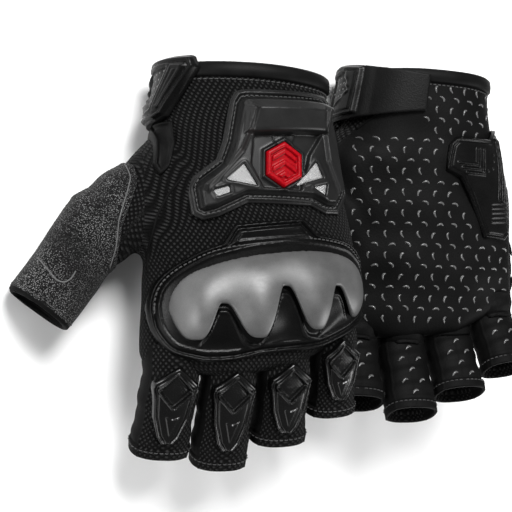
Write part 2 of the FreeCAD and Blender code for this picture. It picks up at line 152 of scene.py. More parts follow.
def front_line(x):
    """Y of the finger roots across the hand."""
    return np.interp(x, FRONT_X, FRONT_Y)


def closed_hand(x, y, z):
    return smooth_max(hand_distance(x, y, z), front_line(x) - y, WEB_BLEND)


def thumb_place(side):
    turn = Matrix.Rotation(math.radians(THUMB_TUCK[side]), 4, "Z")
    return Matrix.Translation(THUMB_PIVOT) @ turn @ Matrix.Translation(-THUMB_PIVOT)


def to_thumb(side, x, y, z):
    inverse = np.array(thumb_place(side).inverted())
    return [inverse[r, 0] * x + inverse[r, 1] * y + inverse[r, 2] * z + inverse[r, 3] for r in range(3)]


def thumb_distance(side, x, y, z):
    tx, ty, tz = to_thumb(side, x, y, z)
    result = None
    for (start, wide0, deep0), (end, wide1, deep1) in zip(THUMB, THUMB[1:]):
        axis = np.array(end, float) - np.array(start, float)
        length = float(np.linalg.norm(axis))
        axis /= length
        along = (tx - start[0]) * axis[0] + (ty - start[1]) * axis[1]
        across = (tx - start[0]) * axis[1] - (ty - start[1]) * axis[0]
        t = np.clip(along / length, 0, 1)
        wide, deep = wide0 + (wide1 - wide0) * t, deep0 + (deep1 - deep0) * t
        reach = THUMB_OVERRUN if end == THUMB_END else 0
        past = np.maximum(np.maximum(-along, along - length - reach), 0)
        part = smooth_max(oval_distance(across, tz, wide, deep), past - 2.0, 4) + past * 0.35
        result = part if result is None else smooth_min(result, part, WEB_BLEND)
    return result


def folds(x, y, z):
    """Soft creases in the cloth, deeper towards the thumb's crotch and the palm."""
    near_thumb = ease(-x, 25, 50) * ease(-x, 95, 70) * ease(y, -20, 20) * ease(y, 70, 45)
    slow = np.sin(x * 0.11 + y * 0.07) * np.sin(y * 0.09 - x * 0.05 + 1.3) * 0.5
    crease = np.sin((x * 0.75 + y * 0.65) * 0.33 + 0.9 * np.sin(y * 0.07)) * near_thumb * 0.6
    waves = np.sin(y * 0.23 + 0.6 * np.sin(x * 0.07)) * 0.5 + np.sin(x * 0.19 - y * 0.06) * 0.35
    return slow + crease + ease(-z, 2, 14) * waves


def glove_distance(side, x, y, z):
    return smooth_min(closed_hand(x, y, z), thumb_distance(side, x, y, z), WEB_BLEND) + folds(x, y, z)


def field_of(side):
    """One glove's skin as a function of x, y and z."""
    return lambda x, y, z: glove_distance(side, x, y, z)


def normal_of(field, x, y, z, step):
    """The unit normals of a distance field."""
    normal = np.stack([field(x + step, y, z) - field(x - step, y, z),
                       field(x, y + step, z) - field(x, y - step, z),
                       field(x, y, z + step) - field(x, y, z - step)], 1)
    return normal / (np.linalg.norm(normal, axis=1, keepdims=True) + 1e-9)


def polygon_distance(x, y, corners, rounding=0.0):
    """Signed distance to a closed outline in the XY plane."""
    squared = np.full(np.shape(x), 1e9)
    sign = np.ones(np.shape(x))
    count = len(corners)
    for i in range(count):
        ax, ay = corners[i]
        bx, by = corners[i - 1]
        ex, ey = bx - ax, by - ay
        wx, wy = x - ax, y - ay
        t = np.clip((wx * ex + wy * ey) / (ex * ex + ey * ey), 0, 1)
        squared = np.minimum(squared, (wx - ex * t) ** 2 + (wy - ey * t) ** 2)
        above, below, left = y >= ay, y < by, ex * wy > ey * wx
        flip = (above & below & left) | (~above & ~below & ~left)
        sign = np.where(flip, -sign, sign)
    return sign * np.sqrt(squared) - rounding


def ridge(distance, centre, width, rise):
    """A soft-shouldered rise along the line where distance is centre."""
    return rise * np.exp(-((distance - centre) / width) ** 2)


def surface_of(field, low, high, voxel):
    """A closed mesh (vertices, faces) of the zero surface of field(x, y, z)."""
    axes = [np.arange(low[i], high[i] + voxel, voxel) for i in range(3)]
    x, y, z = np.meshgrid(*axes, indexing="ij", sparse=True)
    values = np.ascontiguousarray(np.broadcast_to(field(x, y, z), [len(a) for a in axes]), dtype=np.float32)
    for axis in range(3):
        edge = [slice(None)] * 3
        for end in (0, -1):
            edge[axis] = end
            values[tuple(edge)] = np.maximum(values[tuple(edge)], voxel)
    values = np.clip(values, -4 * voxel, 4 * voxel)
    grid = openvdb.FloatGrid(4 * voxel)
    grid.copyFromArray(values)
    points, triangles, quads = grid.convertToPolygons(isovalue=0.0, adaptivity=0.0)
    vertices = points * voxel + np.array(low)
    faces = [tuple(int(i) for i in f) for f in quads] + [tuple(int(i) for i in f) for f in triangles]
    return vertices, faces


# ---------------------------------------------------------------- where each glove lies
def hinge_points(side):
    points = {f"{side}_{f}_curl": (ROOT[f][0], ROOT[f][1], -FINGER_DEEP) for f in FINGERS}
    points[f"{side}_thumb_spread"] = tuple(THUMB_PIVOT)
    points[f"{side}_strap_open"] = STRAP_HINGE
    return points


def glove_matrix(side):
    """The best rigid move from glove millimetres to the frame's metres, as its joints say."""
    joints = {j["name"]: j for j in frame["record"]["behaviour"]["joints"]}
    flip = -1 if side == "right" else 1
    named = hinge_points(side)
    local = np.array([(p[0], p[1], p[2] * flip) for p in named.values()]) * MM
    row = np.array([joints[name]["pos_m"] for name in named])
    lc, rc = local.mean(0), row.mean(0)
    u, _, vt = np.linalg.svd((local - lc).T @ (row - rc))
    fix = np.diag([1, 1, np.sign(np.linalg.det(vt.T @ u.T))])
    turn = vt.T @ fix @ u.T
    matrix = np.eye(4)
    matrix[:3, :3] = turn @ np.diag([1, 1, flip]) * MM
    matrix[:3, 3] = rc - turn @ lc
    return Matrix(matrix.tolist())


GLOVE = {side: glove_matrix(side) for side in ("left", "right")}


# ---------------------------------------------------------------- mesh helpers
def build(name, side, vertices, faces, materials, weave=None, face_material=None):
    """An object in the frame, from vertices in glove millimetres; weave holds the cloth's own coordinates."""
    name = f"{side}_{name}"
    mesh = bpy.data.meshes.new(name)
    m = np.array(GLOVE[side])
    points = np.asarray(vertices, float) @ m[:3, :3].T + m[:3, 3]
    if side == "right":
        faces = [tuple(reversed(f)) for f in faces]
    mesh.from_pydata(points.tolist(), [], faces)
    for material in materials:
        mesh.materials.append(material)
    if face_material is not None:
        mesh.polygons.foreach_set("material_index", np.asarray(face_material, np.int32))
    mesh.polygons.foreach_set("use_smooth", np.ones(len(mesh.polygons), bool))
    if weave is None:
        weave = np.asarray(vertices, float)
    layer = mesh.attributes.new("weave", "FLOAT_VECTOR", "POINT")
    layer.data.foreach_set("vector", np.asarray(weave, np.float32).ravel())
    obj = bpy.data.objects.new(name, mesh)
    bpy.context.collection.objects.link(obj)
    return obj


def clip_mesh(vertices, faces, planes):
    """Cut a mesh by planes (point, outward normal); what lies outside goes."""
    bm = bmesh.new()
    verts = [bm.verts.new(v) for v in vertices]
    for face in faces:
        bm.faces.new([verts[i] for i in face])
    for point, normal in planes:
        geometry = bm.verts[:] + bm.edges[:] + bm.faces[:]
        bmesh.ops.bisect_plane(bm, geom=geometry, dist=1e-4, plane_co=point, plane_no=normal,
                               clear_outer=True)
    bm.verts.index_update()
    kept = np.array([v.co[:] for v in bm.verts])
    kept_faces = [tuple(v.index for v in f.verts) for f in bm.faces]
    bm.free()
    return kept, kept_faces


def thicken(obj, thickness):
    """Cloth thickness, built inwards from the outer face."""
    modifier = obj.modifiers.new("cloth_thickness", "SOLIDIFY")
    modifier.thickness = thickness * MM
    modifier.offset = -1


def sweep(path, normals, profile, closed=False):
    """A profile of (sideways, outwards) points carried along a path with surface normals."""
    path, normals = np.asarray(path, float), np.asarray(normals, float)
    if closed:
        tangent = np.roll(path, -1, 0) - np.roll(path, 1, 0)
    else:
        tangent = np.gradient(path, axis=0)
    tangent /= np.linalg.norm(tangent, axis=1, keepdims=True) + 1e-9
    sideways = np.cross(tangent, normals)
    sideways /= np.linalg.norm(sideways, axis=1, keepdims=True) + 1e-9
    rings = [path + sideways * s + normals * o for s, o in profile]
    vertices = np.stack(rings, axis=1).reshape(-1, 3)
    n, k = len(path), len(profile)
    faces = []
    for i in range(n if closed else n - 1):
        j = (i + 1) % n
        for a in range(k):
            b = (a + 1) % k
            faces.append((i * k + a, j * k + a, j * k + b, i * k + b))
    if not closed:
        faces.append(tuple(range(k)))
        faces.append(tuple((n - 1) * k + a for a in reversed(range(k))))
    return vertices, faces


def round_profile(radius, sides=8, squash=1.0):
    angles = [2 * math.pi * i / sides for i in range(sides)]
    return [(radius * math.cos(a), radius * squash * math.sin(a)) for a in angles]


def join_meshes(parts):
    vertices, faces, offset = [], [], 0
    for v, f in parts:
        vertices.append(np.asarray(v, float))
        faces.extend(tuple(i + offset for i in face) for face in f)
        offset += len(v)
    return np.concatenate(vertices), faces


# pitch and length of the stitches on mouldings and on hems
EDGE_THREAD, HEM_THREAD = (2.3, 1.6), (2.4, 1.7)


def stitches(path, normals, pitch=2.6, length=1.8, radius=0.28, lift=0.1):
    """Short thread segments laid along a path."""
    path, normals = np.asarray(path, float), np.asarray(normals, float)
    steps = np.linalg.norm(np.diff(path, axis=0), axis=1)
    distance = np.concatenate(([0], np.cumsum(steps)))
    parts = []
    count = int(distance[-1] / pitch)
    for i in range(count):
        at = (i + 0.5) * pitch + np.array([-0.5, -0.3, 0, 0.3, 0.5]) * length
        line = np.stack([np.interp(at, distance, path[:, k]) for k in range(3)], 1)
        up = np.stack([np.interp(at, distance, normals[:, k]) for k in range(3)], 1)
        sink = np.array([-0.35, 0.0, 0.12, 0.0, -0.35])[:, None]
        parts.append(sweep(line + up * (sink + lift), up, round_profile(radius, 5)))
    return join_meshes(parts)


def hand_points(angle, y):
    """Points on the hand's oval; angle 0 is the little-finger side, 90 degrees the back of the hand."""
    centre, wide, deep = hand_section(y)
    x, z = oval_point(angle, wide, deep, SECTION_POWER)
    return np.stack([x + centre, y + 0 * x, z], -1)


def drop_on(field, xy, side=1):
    """Where a vertical line through each (x, y) first meets a distance field, and the normal there."""
    x, y = np.asarray(xy, float).T
    z = np.full(len(x), 45.0 * side)
    for _ in range(40):
        z = z - side * np.clip(field(x, y, z), -2, 6) * 0.8
    return np.stack([x, y, z], 1), normal_of(field, x, y, z, 0.4)


def project_to(field, points):
    """Move points onto a distance field's surface, and give the normals there."""
    points = np.array(points, float)
    for _ in range(6):
        x, y, z = points.T
        normal = normal_of(field, x, y, z, 0.3)
        points -= normal * np.clip(field(x, y, z), -3, 3)[:, None]
    return points, normal


def inset(line, distance):
    """An outline's points, moved towards their middle."""
    inward = line.mean(0) - line
    return line + inward / np.linalg.norm(inward, axis=1, keepdims=True) * distance


def closed_line(points):
    """A ring of points with its first one repeated at the end."""
    return np.concatenate([points, points[:1]])


def polyline(points, step=0.8, closed=False, smooth=0):
    """Evenly spaced points along a polygon, eased round its corners."""
    points = np.asarray(points, float)
    if closed:
        points = closed_line(points)
    lengths = np.concatenate(([0], np.cumsum(np.linalg.norm(np.diff(points, axis=0), axis=1))))
    at = np.arange(0, lengths[-1], step)
    line = np.stack([np.interp(at, lengths, points[:, k]) for k in range(points.shape[1])], 1)
    for _ in range(smooth):
        if closed:
            line = (np.roll(line, 1, 0) + line * 2 + np.roll(line, -1, 0)) / 4
        else:
            line[1:-1] = (line[:-2] + 2 * line[1:-1] + line[2:]) / 4
    return line


# ---------------------------------------------------------------- materials
class Nodes:
    """A small helper that wires shader nodes."""

    def __init__(self, name):
        self.material = bpy.data.materials.new(name)
        self.material.use_nodes = True
        self.tree = self.material.node_tree
        self.shader = self.tree.nodes["Principled BSDF"]

    def add(self, kind, **settings):
        node = self.tree.nodes.new(kind)
        for key, value in settings.items():
            setattr(node, key, value)
        return node

    def link(self, out, into):
        self.tree.links.new(out, into)

    def weave(self):
        return self.add("ShaderNodeAttribute", attribute_name="weave").outputs["Vector"]

    def math(self, operation, *values):
        node = self.add("ShaderNodeMath", operation=operation)
        for socket, value in zip(node.inputs, values):
            if isinstance(value, (int, float)):
                socket.default_value = value
            else:
                self.link(value, socket)
        return node.outputs[0]

    def mix(self, first, share, second):
        """Two heights together, in shares that make one."""
        return self.math("ADD", self.math("MULTIPLY", first, share), self.math("MULTIPLY", second, 1 - share))

    def noise(self, vector, scale, detail, roughness=0.55):
        node = self.add("ShaderNodeTexNoise")
        node.inputs["Scale"].default_value = scale
        node.inputs["Detail"].default_value = detail
        node.inputs["Roughness"].default_value = roughness
        self.link(vector, node.inputs["Vector"])
        return node.outputs["Fac"]

    def cells(self, vector, scale):
        node = self.add("ShaderNodeTexVoronoi", feature="F1")
        node.inputs["Scale"].default_value = scale
        self.link(vector, node.inputs["Vector"])
        return node.outputs["Distance"]

    def ramp(self, value, stops):
        node = self.add("ShaderNodeValToRGB")
        ramp = node.color_ramp
        while len(ramp.elements) < len(stops):
            ramp.elements.new(0.5)
        for element, (position, colour) in zip(ramp.elements, stops):
            element.position = position
            element.color = (*colour, 1) if isinstance(colour, tuple) else (colour, colour, colour, 1)
        self.link(value, node.inputs["Fac"])
        return node.outputs["Color"]

    def bump(self, height, strength, distance, previous=None):
        node = self.add("ShaderNodeBump")
        node.inputs["Strength"].default_value = strength
        node.inputs["Distance"].default_value = distance * MM
        self.link(height, node.inputs["Height"])
        if previous is not None:
            self.link(previous, node.inputs["Normal"])
        return node.outputs["Normal"]

    def finish(self, colour, roughness, normal=None, metallic=0.0, sheen=0.0, specular=0.5):
        shader = self.shader
        for name, value in (("Base Color", colour), ("Roughness", roughness), ("Metallic", metallic)):
            if not isinstance(value, (int, float)):
                self.link(value, shader.inputs[name])
            elif name == "Base Color":
                shader.inputs[name].default_value = (value, value, value, 1)
            else:
                shader.inputs[name].default_value = value
        shader.inputs["Sheen Weight"].default_value = sheen
        shader.inputs["Sheen Roughness"].default_value = 0.5
        shader.inputs["Specular IOR Level"].default_value = specular
        if normal is not None:
            self.link(normal, shader.inputs["Normal"])
        return self.material


# distances between the knit's dots, the silver mesh's holes and the perforations
KNIT_PITCH, MESH_PITCH, PERFORATION_PITCH = (2.5, 2.8), (0.62, 0.62), 3.2


def lattice(nodes, across, along):
    """Staggered raised dots, 0 between them and 1 at their middles."""
    split = nodes.add("ShaderNodeSeparateXYZ")
    nodes.link(nodes.weave(), split.inputs[0])
    u = nodes.math("MULTIPLY", split.outputs["X"], math.pi / across)
    v = nodes.math("MULTIPLY", split.outputs["Y"], math.pi / along)
    one = nodes.math("SINE", nodes.math("ADD", u, v))
    other = nodes.math("SINE", nodes.math("SUBTRACT", u, v))
    return nodes.math("ABSOLUTE", nodes.math("MULTIPLY", one, other))


def knit_material():
    nodes = Nodes("airmesh_knit")
    dots = lattice(nodes, *KNIT_PITCH)
    weave = nodes.weave()
    fuzz = nodes.noise(weave, 3.2, 3)
    broad = nodes.noise(weave, 0.05, 3)
    height = nodes.math("ADD", nodes.math("POWER", dots, 0.6), nodes.math("MULTIPLY", fuzz, 0.4))
    # painted highlight and painted shade: the colour follows the dots' height, lighter on their raised tops
    # as if lit, and near black in the gaps between them
    yarn_painted_light_and_shade = nodes.ramp(nodes.math("MULTIPLY", dots, nodes.math("ADD", fuzz, 0.55)),
                      [(0.25, 0.0008), (0.65, 0.004), (0.95, 0.022)])
    tint = nodes.add("ShaderNodeMix", data_type="RGBA", blend_type="MULTIPLY")
    tint.inputs["Factor"].default_value = 0.6
    nodes.link(yarn_painted_light_and_shade, tint.inputs["A"])
    nodes.link(nodes.ramp(broad, [(0.3, 0.5), (0.7, 1.0)]), tint.inputs["B"])
    return nodes.finish(tint.outputs["Result"], 0.75, nodes.bump(height, 1.0, 0.6), sheen=0.02, specular=0.06)


def leather_material(name, base, rough, grain):
    nodes = Nodes(name)
    weave = nodes.weave()
    creases = nodes.cells(weave, grain)
    fine = nodes.noise(weave, 4.0, 5)
    broad = nodes.noise(weave, 0.06, 4)
    colour = nodes.ramp(nodes.mix(broad, 0.6, fine), [(0.3, base * 0.45), (0.75, base * 1.6)])
    roughness = nodes.ramp(fine, [(0.3, rough - 0.08), (0.7, rough + 0.08)])
    normal = nodes.bump(creases, 0.25, 0.25, nodes.bump(fine, 0.3, 0.18))
    return nodes.finish(colour, roughness, normal, specular=0.06)


def suede_material():
    nodes = Nodes("suede")
    weave = nodes.weave()
    grain = nodes.cells(weave, 1.7)
    fuzz = nodes.noise(weave, 2.6, 6, roughness=0.7)
    speck = nodes.math("MULTIPLY", nodes.math("SUBTRACT", 0.75, grain), nodes.math("ADD", fuzz, 0.25))
    patches = nodes.noise(weave, 0.06, 3)
    lit = nodes.math("MULTIPLY", speck, nodes.math("ADD", patches, 0.55))
    colour = nodes.ramp(lit, [(0.08, 0.002), (0.3, 0.014), (0.58, 0.22)])
    return nodes.finish(colour, 0.85, nodes.bump(speck, 0.9, 0.6), sheen=0.05, specular=0.1)


def rubber_material(name, base, rough, specular):
    nodes = Nodes(name)
    weave = nodes.weave()
    fine = nodes.noise(weave, 2.2, 5)
    broad = nodes.noise(weave, 0.09, 3)
    colour = nodes.ramp(broad, [(0.3, base * 0.7), (0.7, base * 1.5)])
    return nodes.finish(colour, nodes.ramp(fine, [(0.3, rough - 0.07), (0.75, rough + 0.12)]),
                        nodes.bump(fine, 0.14, 0.12), specular=specular)


def shell_material():
    nodes = Nodes("gunmetal_shell")
    weave = nodes.weave()
    fleck = nodes.noise(weave, 5.0, 3)
    broad = nodes.noise(weave, 0.05, 3)
    stretch = nodes.add("ShaderNodeMapping")
    stretch.inputs["Scale"].default_value = (0.25, 2.4, 1.0)
    stretch.inputs["Rotation"].default_value = (0, 0, 0.7)
    nodes.link(weave, stretch.inputs["Vector"])
    scratch = nodes.noise(stretch.outputs["Vector"], 0.9, 6, roughness=0.75)
    colour = nodes.ramp(nodes.mix(fleck, 0.5, broad), [(0.3, 0.05), (0.7, 0.15)])
    rough = nodes.ramp(nodes.mix(scratch, 0.6, broad), [(0.35, 0.36), (0.7, 0.54)])
    return nodes.finish(colour, rough, nodes.bump(fleck, 0.08, 0.06), metallic=0.4, specular=0.35)


def mesh_material():
    nodes = Nodes("silver_mesh")
    holes = lattice(nodes, *MESH_PITCH)
    colour = nodes.ramp(holes, [(0.25, 0.02), (0.5, 0.62)])
    return nodes.finish(colour, 0.4, nodes.bump(holes, 0.6, 0.2), metallic=0.4)


def badge_material():
    nodes = Nodes("red_badge")
    fine = nodes.noise(nodes.weave(), 1.4, 4)
    colour = nodes.ramp(fine, [(0.3, (0.16, 0.0004, 0.003)), (0.7, (0.32, 0.001, 0.005))])
    return nodes.finish(colour, 0.34, nodes.bump(fine, 0.15, 0.1), specular=0.12)


def perforated_material():
    nodes = Nodes("perforated_leather")
    split = nodes.add("ShaderNodeSeparateXYZ")
    nodes.link(nodes.weave(), split.inputs[0])
    squares = []
    for axis in ("X", "Y"):
        cell = nodes.math("FRACT", nodes.math("DIVIDE", split.outputs[axis], PERFORATION_PITCH))
        offset = nodes.math("SUBTRACT", cell, 0.5)
        squares.append(nodes.math("MULTIPLY", offset, offset))
    radius = nodes.math("SQRT", nodes.math("ADD", *squares))
    colour = nodes.ramp(radius, [(0.1, 0.2), (0.16, 0.004)])
    return nodes.finish(colour, 0.45, nodes.bump(radius, 0.5, 0.4), specular=0.12)


MATERIAL = {
    "knit": knit_material(),
    "leather": leather_material("palm_leather", base=0.003, rough=0.6, grain=1.1),
    "strap": leather_material("strap_leather", base=0.0045, rough=0.4, grain=1.6),
    "fourchette": leather_material("fourchette_cloth", base=0.003, rough=0.7, grain=2.2),
    "neoprene": rubber_material("neoprene", base=0.003, rough=0.5, specular=0.07),
    "lining": leather_material("lining_cloth", base=0.006, rough=0.85, grain=2.6),
    "suede": suede_material(),
    "rubber": rubber_material("moulded_rubber", base=0.002, rough=0.3, specular=0.14),
    "satin": rubber_material("satin_rubber", base=0.006, rough=0.38, specular=0.26),
    # the grip marks are a lighter grey than the palm: partly the print's own grey, partly a painted highlight
    # standing in for the shine on the glossy marks
    "grip": rubber_material("grip_print_painted_highlight", base=0.07, rough=0.2, specular=0.5),
    "gloss": rubber_material("gloss_rubber", base=0.0015, rough=0.2, specular=0.4),
    "shell": shell_material(),
    "mesh": mesh_material(),
    "badge": badge_material(),
    "perforated": perforated_material(),
    "piping": leather_material("pale_piping", base=0.09, rough=0.5, grain=3.0),
    "thread": leather_material("thread", base=0.06, rough=0.5, grain=3.0),
}


# ---------------------------------------------------------------- the pieces of one glove
# half width and half depth of the ovals that arc length is measured on: round the palm, and round the wrist
PALM_OVAL, WRIST_OVAL = (48, 21), (40, 23.5)


def arc_table(wide, deep):
    """Angles round an oval and the arc length up to each."""
    angles = np.linspace(-math.pi, math.pi, 721)
    speed = np.sqrt((wide * np.sin(angles)) ** 2 + (deep * np.cos(angles)) ** 2)
    return angles, np.concatenate(([0], np.cumsum((speed[1:] + speed[:-1]) / 2 * np.diff(angles))))


def hand_weave(vertices):
    """Cloth coordinates: arc length round the hand and distance along it."""
    centre, wide, deep = hand_section(vertices[:, 1])
    angle = np.arctan2(vertices[:, 2] / deep, (vertices[:, 0] - centre) / wide)
    u = np.interp(angle, *arc_table(*PALM_OVAL)) * wide / PALM_OVAL[0]
    return np.stack([u, vertices[:, 1], np.zeros(len(u))], 1)


def thumb_weave(side, vertices):
    """Cloth coordinates that run along the thumb."""
    x, y, z = to_thumb(side, *vertices.T)
    along = -math.sin(WEAVE_LEAN) * x - math.cos(WEAVE_LEAN) * y
    across = math.cos(WEAVE_LEAN) * x - math.sin(WEAVE_LEAN) * y
    return np.stack([across + 0.55 * z * np.sign(across + 60), along, z], 1)


def stand_for(side, nodes):
    """Hide the CAD nodes that a piece takes the place of."""
    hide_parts(*[f"{side}_{node}" for node in nodes])


def add_piece(name, side, body, mesh, material, nodes=(), weave=None):
    """A piece of one material that rides on one body."""
    obj = build(name, side, *mesh, [MATERIAL[material]], weave)
    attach(obj, f"{side}_{body}")
    if nodes:
        stand_for(side, nodes)
    return obj


def gusset_line(x):
    """Y above which the palm side is knit: a wedge at the thumb side of the wrist."""
    return 62 + (x + 42) * 0.85


def without_thumb_end(vertices, faces, hem):
    """The faces of the hand's skin, less those that lie past the thumb's hem."""
    point, normal = (np.array(part) for part in hem)
    middles = np.array([vertices[list(face)].mean(0) for face in faces])
    past = (middles - point) @ normal > 0
    off_hand = (closed_hand(*middles.T) > 1.5) & (middles[:, 0] < -40)
    return [face for face, drop in zip(faces, past & off_hand) if not drop]


SKIN_BOX, SKIN_VOXEL = ((-126, -62, -36), (60, 106, 40)), 1.0
SIDE_SEAM_Z = -1.0
# piece, node, cloth and slot of the back's and the palm's halves, and which way from the side seam is cut off
HAND_HALVES = (("back_cloth", "back_panel", "knit", "knit", -1),
               ("palm_leather", "palm_panel", "leather", "palm_leather", 1))
THUMB_HALVES = (("thumb_back", "thumb_sleeve", "knit", "knit", -1),
                ("thumb_palm", "thumb_sleeve", "leather", "palm_leather", 1))


def thumb_hem_plane(side):
    """A point in the thumb's hem and the direction that the hem faces."""
    place = thumb_place(side)
    outward = Vector((-math.sin(THUMB_LEAN), -math.cos(THUMB_LEAN), 0))
    return place @ Vector((*THUMB_END, 0)), place.to_3x3() @ outward


def make_skin(side):
    """The hand's cloth and leather, and the thumb's, cut from one smooth shape."""
    vertices, faces = surface_of(field_of(side), *SKIN_BOX, SKIN_VOXEL)
    cuff = (Vector((0, CUFF_Y, 0)), Vector((0, 1, 0)))
    split, seam = Vector((THUMB_SPLIT_X, 0, 0)), Vector((0, 0, SIDE_SEAM_Z))
    hem = thumb_hem_plane(side)
    for name, node, cloth, slot, off in HAND_HALVES:
        v, f = clip_mesh(vertices, faces, (cuff, (split, Vector((-1, 0, 0))), (seam, Vector((0, 0, off)))))
        f = without_thumb_end(v, f, hem)
        cloths, choice = [MATERIAL[cloth]], None
        if cloth == "leather":
            middles = np.array([v[list(face)].mean(0) for face in f])
            cloths.append(MATERIAL["knit"])
            choice = (gusset_line(middles[:, 0]) < middles[:, 1]).astype(int)
        obj = build(name, side, v, f, cloths, hand_weave(v), choice)
        thicken(obj, CLOTH)
        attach(obj, f"{side}_hand")
        stand_for(side, [node])
    for name, node, cloth, slot, off in THUMB_HALVES:
        v, f = clip_mesh(vertices, faces, ((split, Vector((1, 0, 0))), hem, (seam, Vector((0, 0, off)))))
        obj = build(name, side, v, f, [MATERIAL[cloth]], thumb_weave(side, v))
        thicken(obj, CLOTH)
        bend_thumb(obj)
        stand_for(side, [node])


def bend_thumb(obj):
    """Bake a piece's transform into its mesh."""
    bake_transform(obj)


# sections that a path carries: sideways, and outwards from the skin
CUFF_PROFILE = [(-1.5, -2.7), (1.5, -2.6), (3.3, -1.8), (3.7, -0.5), (3.4, 0.7), (2.6, 1.5), (0, 1.75),
                (-2.6, 1.5), (-3.4, 0.7), (-3.7, -1.0), (-3.4, -2.2)]
CUFF_STITCH_INSET, LINING_LENGTH, LINING_GAP = 4.6, 36, 2.4


def make_cuff(side):
    """The rolled neoprene edge round the wrist opening, with its stitch line, and the lining inside."""
    angle = np.linspace(0, 2 * math.pi, 181)[:-1]
    count = len(angle)
    field = field_of(side)
    points, normals = project_to(field, hand_points(angle, np.full(count, CUFF_Y - 3.0)))
    normals[:, 1] = 0
    normals /= np.linalg.norm(normals, axis=1, keepdims=True)
    add_piece("cuff_roll", side, "hand", sweep(points, normals, CUFF_PROFILE, closed=True), "neoprene",
              ["cuff_binding"])
    low, low_normals = project_to(field, points - (0, CUFF_STITCH_INSET, 0))
    add_piece("cuff_stitch", side, "hand", stitches(closed_line(low), closed_line(low_normals)), "thread")
    rows = []
    for y in np.linspace(CUFF_Y - 1.5, CUFF_Y - LINING_LENGTH, 12):
        ring, outward = project_to(field, hand_points(angle, np.full(count, y)))
        rows.append(ring - outward * LINING_GAP)
    faces = []
    for row in range(0, (len(rows) - 1) * count, count):
        for i in range(count):
            j = (i + 1) % count
            faces.append((row + i, row + count + i, row + count + j, row + j))
    v = np.concatenate(rows)
    band = add_piece("wrist_lining_band", side, "hand", (v, faces), "lining", ["wrist_lining"],
                     hand_weave(v))
    thicken(band, LINING)


def strap_arc(x, y, z):
    """Arc length round the wrist from the thumb-side edge, positive over the back of the hand."""
    centre, wide, deep = hand_section(y)
    angles, arc = arc_table(*WRIST_OVAL)
    return np.interp(np.arctan2(z / deep, -(x - centre) / wide), angles, arc - np.interp(0, angles, arc))


# the box that the strap is built in
STRAP_BOX = (-54, 62, -34), (-4, 100, 34)
# outlines on the wrist unrolled: arc length from the thumb-side edge, and y
STRAP_OUTLINE = [(-46, 73), (-20, 70), (-12, 69), (8, 69), (12, 70.5), (22, 91), (20, 95.5), (-2, 97),
                 (-18, 94), (-46, 90)]
TAB_OUTLINE = [(-15, 71), (8, 69.5), (12, 71), (22.5, 91), (21, 95), (-2, 97), (-15, 94)]
INSERT_OUTLINE = [(-9, 83), (1, 74.5), (4.5, 75), (10.5, 92), (-6, 93)]
STRAP_BLOCK = [(7.5, 73.5), (11.5, 73.5), (19.5, 91.5), (13.5, 92.5)]


def strap_height(u, y):
    """Height above the hand: the band, the moulded tab with its rim, the sunk insert and the raised block."""
    edge = polygon_distance(u, y, TAB_OUTLINE, 1.0)
    insert = polygon_distance(u, y, INSERT_OUTLINE, 0.6)
    height = 3.0 + 1.6 * ease(u, -22, -16) + 2.4 * ease(-edge, -0.2, 1.2)
    height += ridge(insert, 1.2, 0.6, 0.5) - 1.7 * ease(-insert, 0.0, 0.9) - ridge(edge, -2.6, 0.5, 0.9)
    block = polygon_distance(u, y, STRAP_BLOCK, 0.3)
    height += 0.9 * ease(-block, -0.2, 0.7) - ridge(block, -1.9, 0.4, 0.5)
    fan = np.cos(np.arctan2(y - 82, u + 24) * 26)
    return height + ease(-insert, -2.5, -1.5) * ease(-u, 2, 6) * ease(-edge, 2, 3) * 0.35 * fan


def make_strap(side):
    """The wrist strap with its pull tab, in one piece."""
    def field(x, y, z):
        u = strap_arc(x, y, z)
        skin = hand_distance(x, y, z)
        outline = polygon_distance(u, y, STRAP_OUTLINE, 1.2)
        return smooth_max(smooth_max(outline, skin - strap_height(u, y), 0.9), 1.9 - skin, 0.5)

    v, f = surface_of(field, *STRAP_BOX, 0.5)
    u = strap_arc(*v.T)
    weave = np.stack([u, v[:, 1], v[:, 2] * 0], 1)
    centres = np.array([weave[list(face), :2].mean(0) for face in f])
    top = np.array([hand_distance(*v[list(face)].mean(0)) for face in f]) > 3.2
    insert = (polygon_distance(centres[:, 0], centres[:, 1], INSERT_OUTLINE, 0.1) < 0) & top
    tab = (polygon_distance(centres[:, 0], centres[:, 1], TAB_OUTLINE, 1.1) < 0) & top
    index = np.where(insert, 2, np.where(tab, 1, 0))
    obj = build("strap_tab_piece", side, v, f,
                [MATERIAL["strap"], MATERIAL["rubber"], MATERIAL["perforated"]], weave, index)
    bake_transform(obj)
    stand_for(side, ["strap", "strap_frame", "strap_insert", "hook_patch"])


def flat_pair(x, y):
    """X and Y of a grid without its Z axis."""
    return (x + 0 * y)[..., 0], (y + 0 * x)[..., 0]


def add_relief(name, side, nodes, material, outline, height, box, low=0.3, voxel=0.5,
               field=hand_distance, soft=0.9, face_side=1):
    """A moulded piece on the back (face_side 1) or the palm (-1): an outline, raised by a height map."""
    def solid(x, y, z):
        skin = field(x, y, z) + 0.0 * x
        flat = flat_pair(x, y)
        edge, top = outline(*flat)[..., None], height(*flat)[..., None]
        return np.maximum(smooth_max(smooth_max(edge, skin - top, soft), low - skin, 0.3), -face_side * z)

    return add_piece(name, side, "hand", surface_of(solid, *box, voxel), material, nodes)


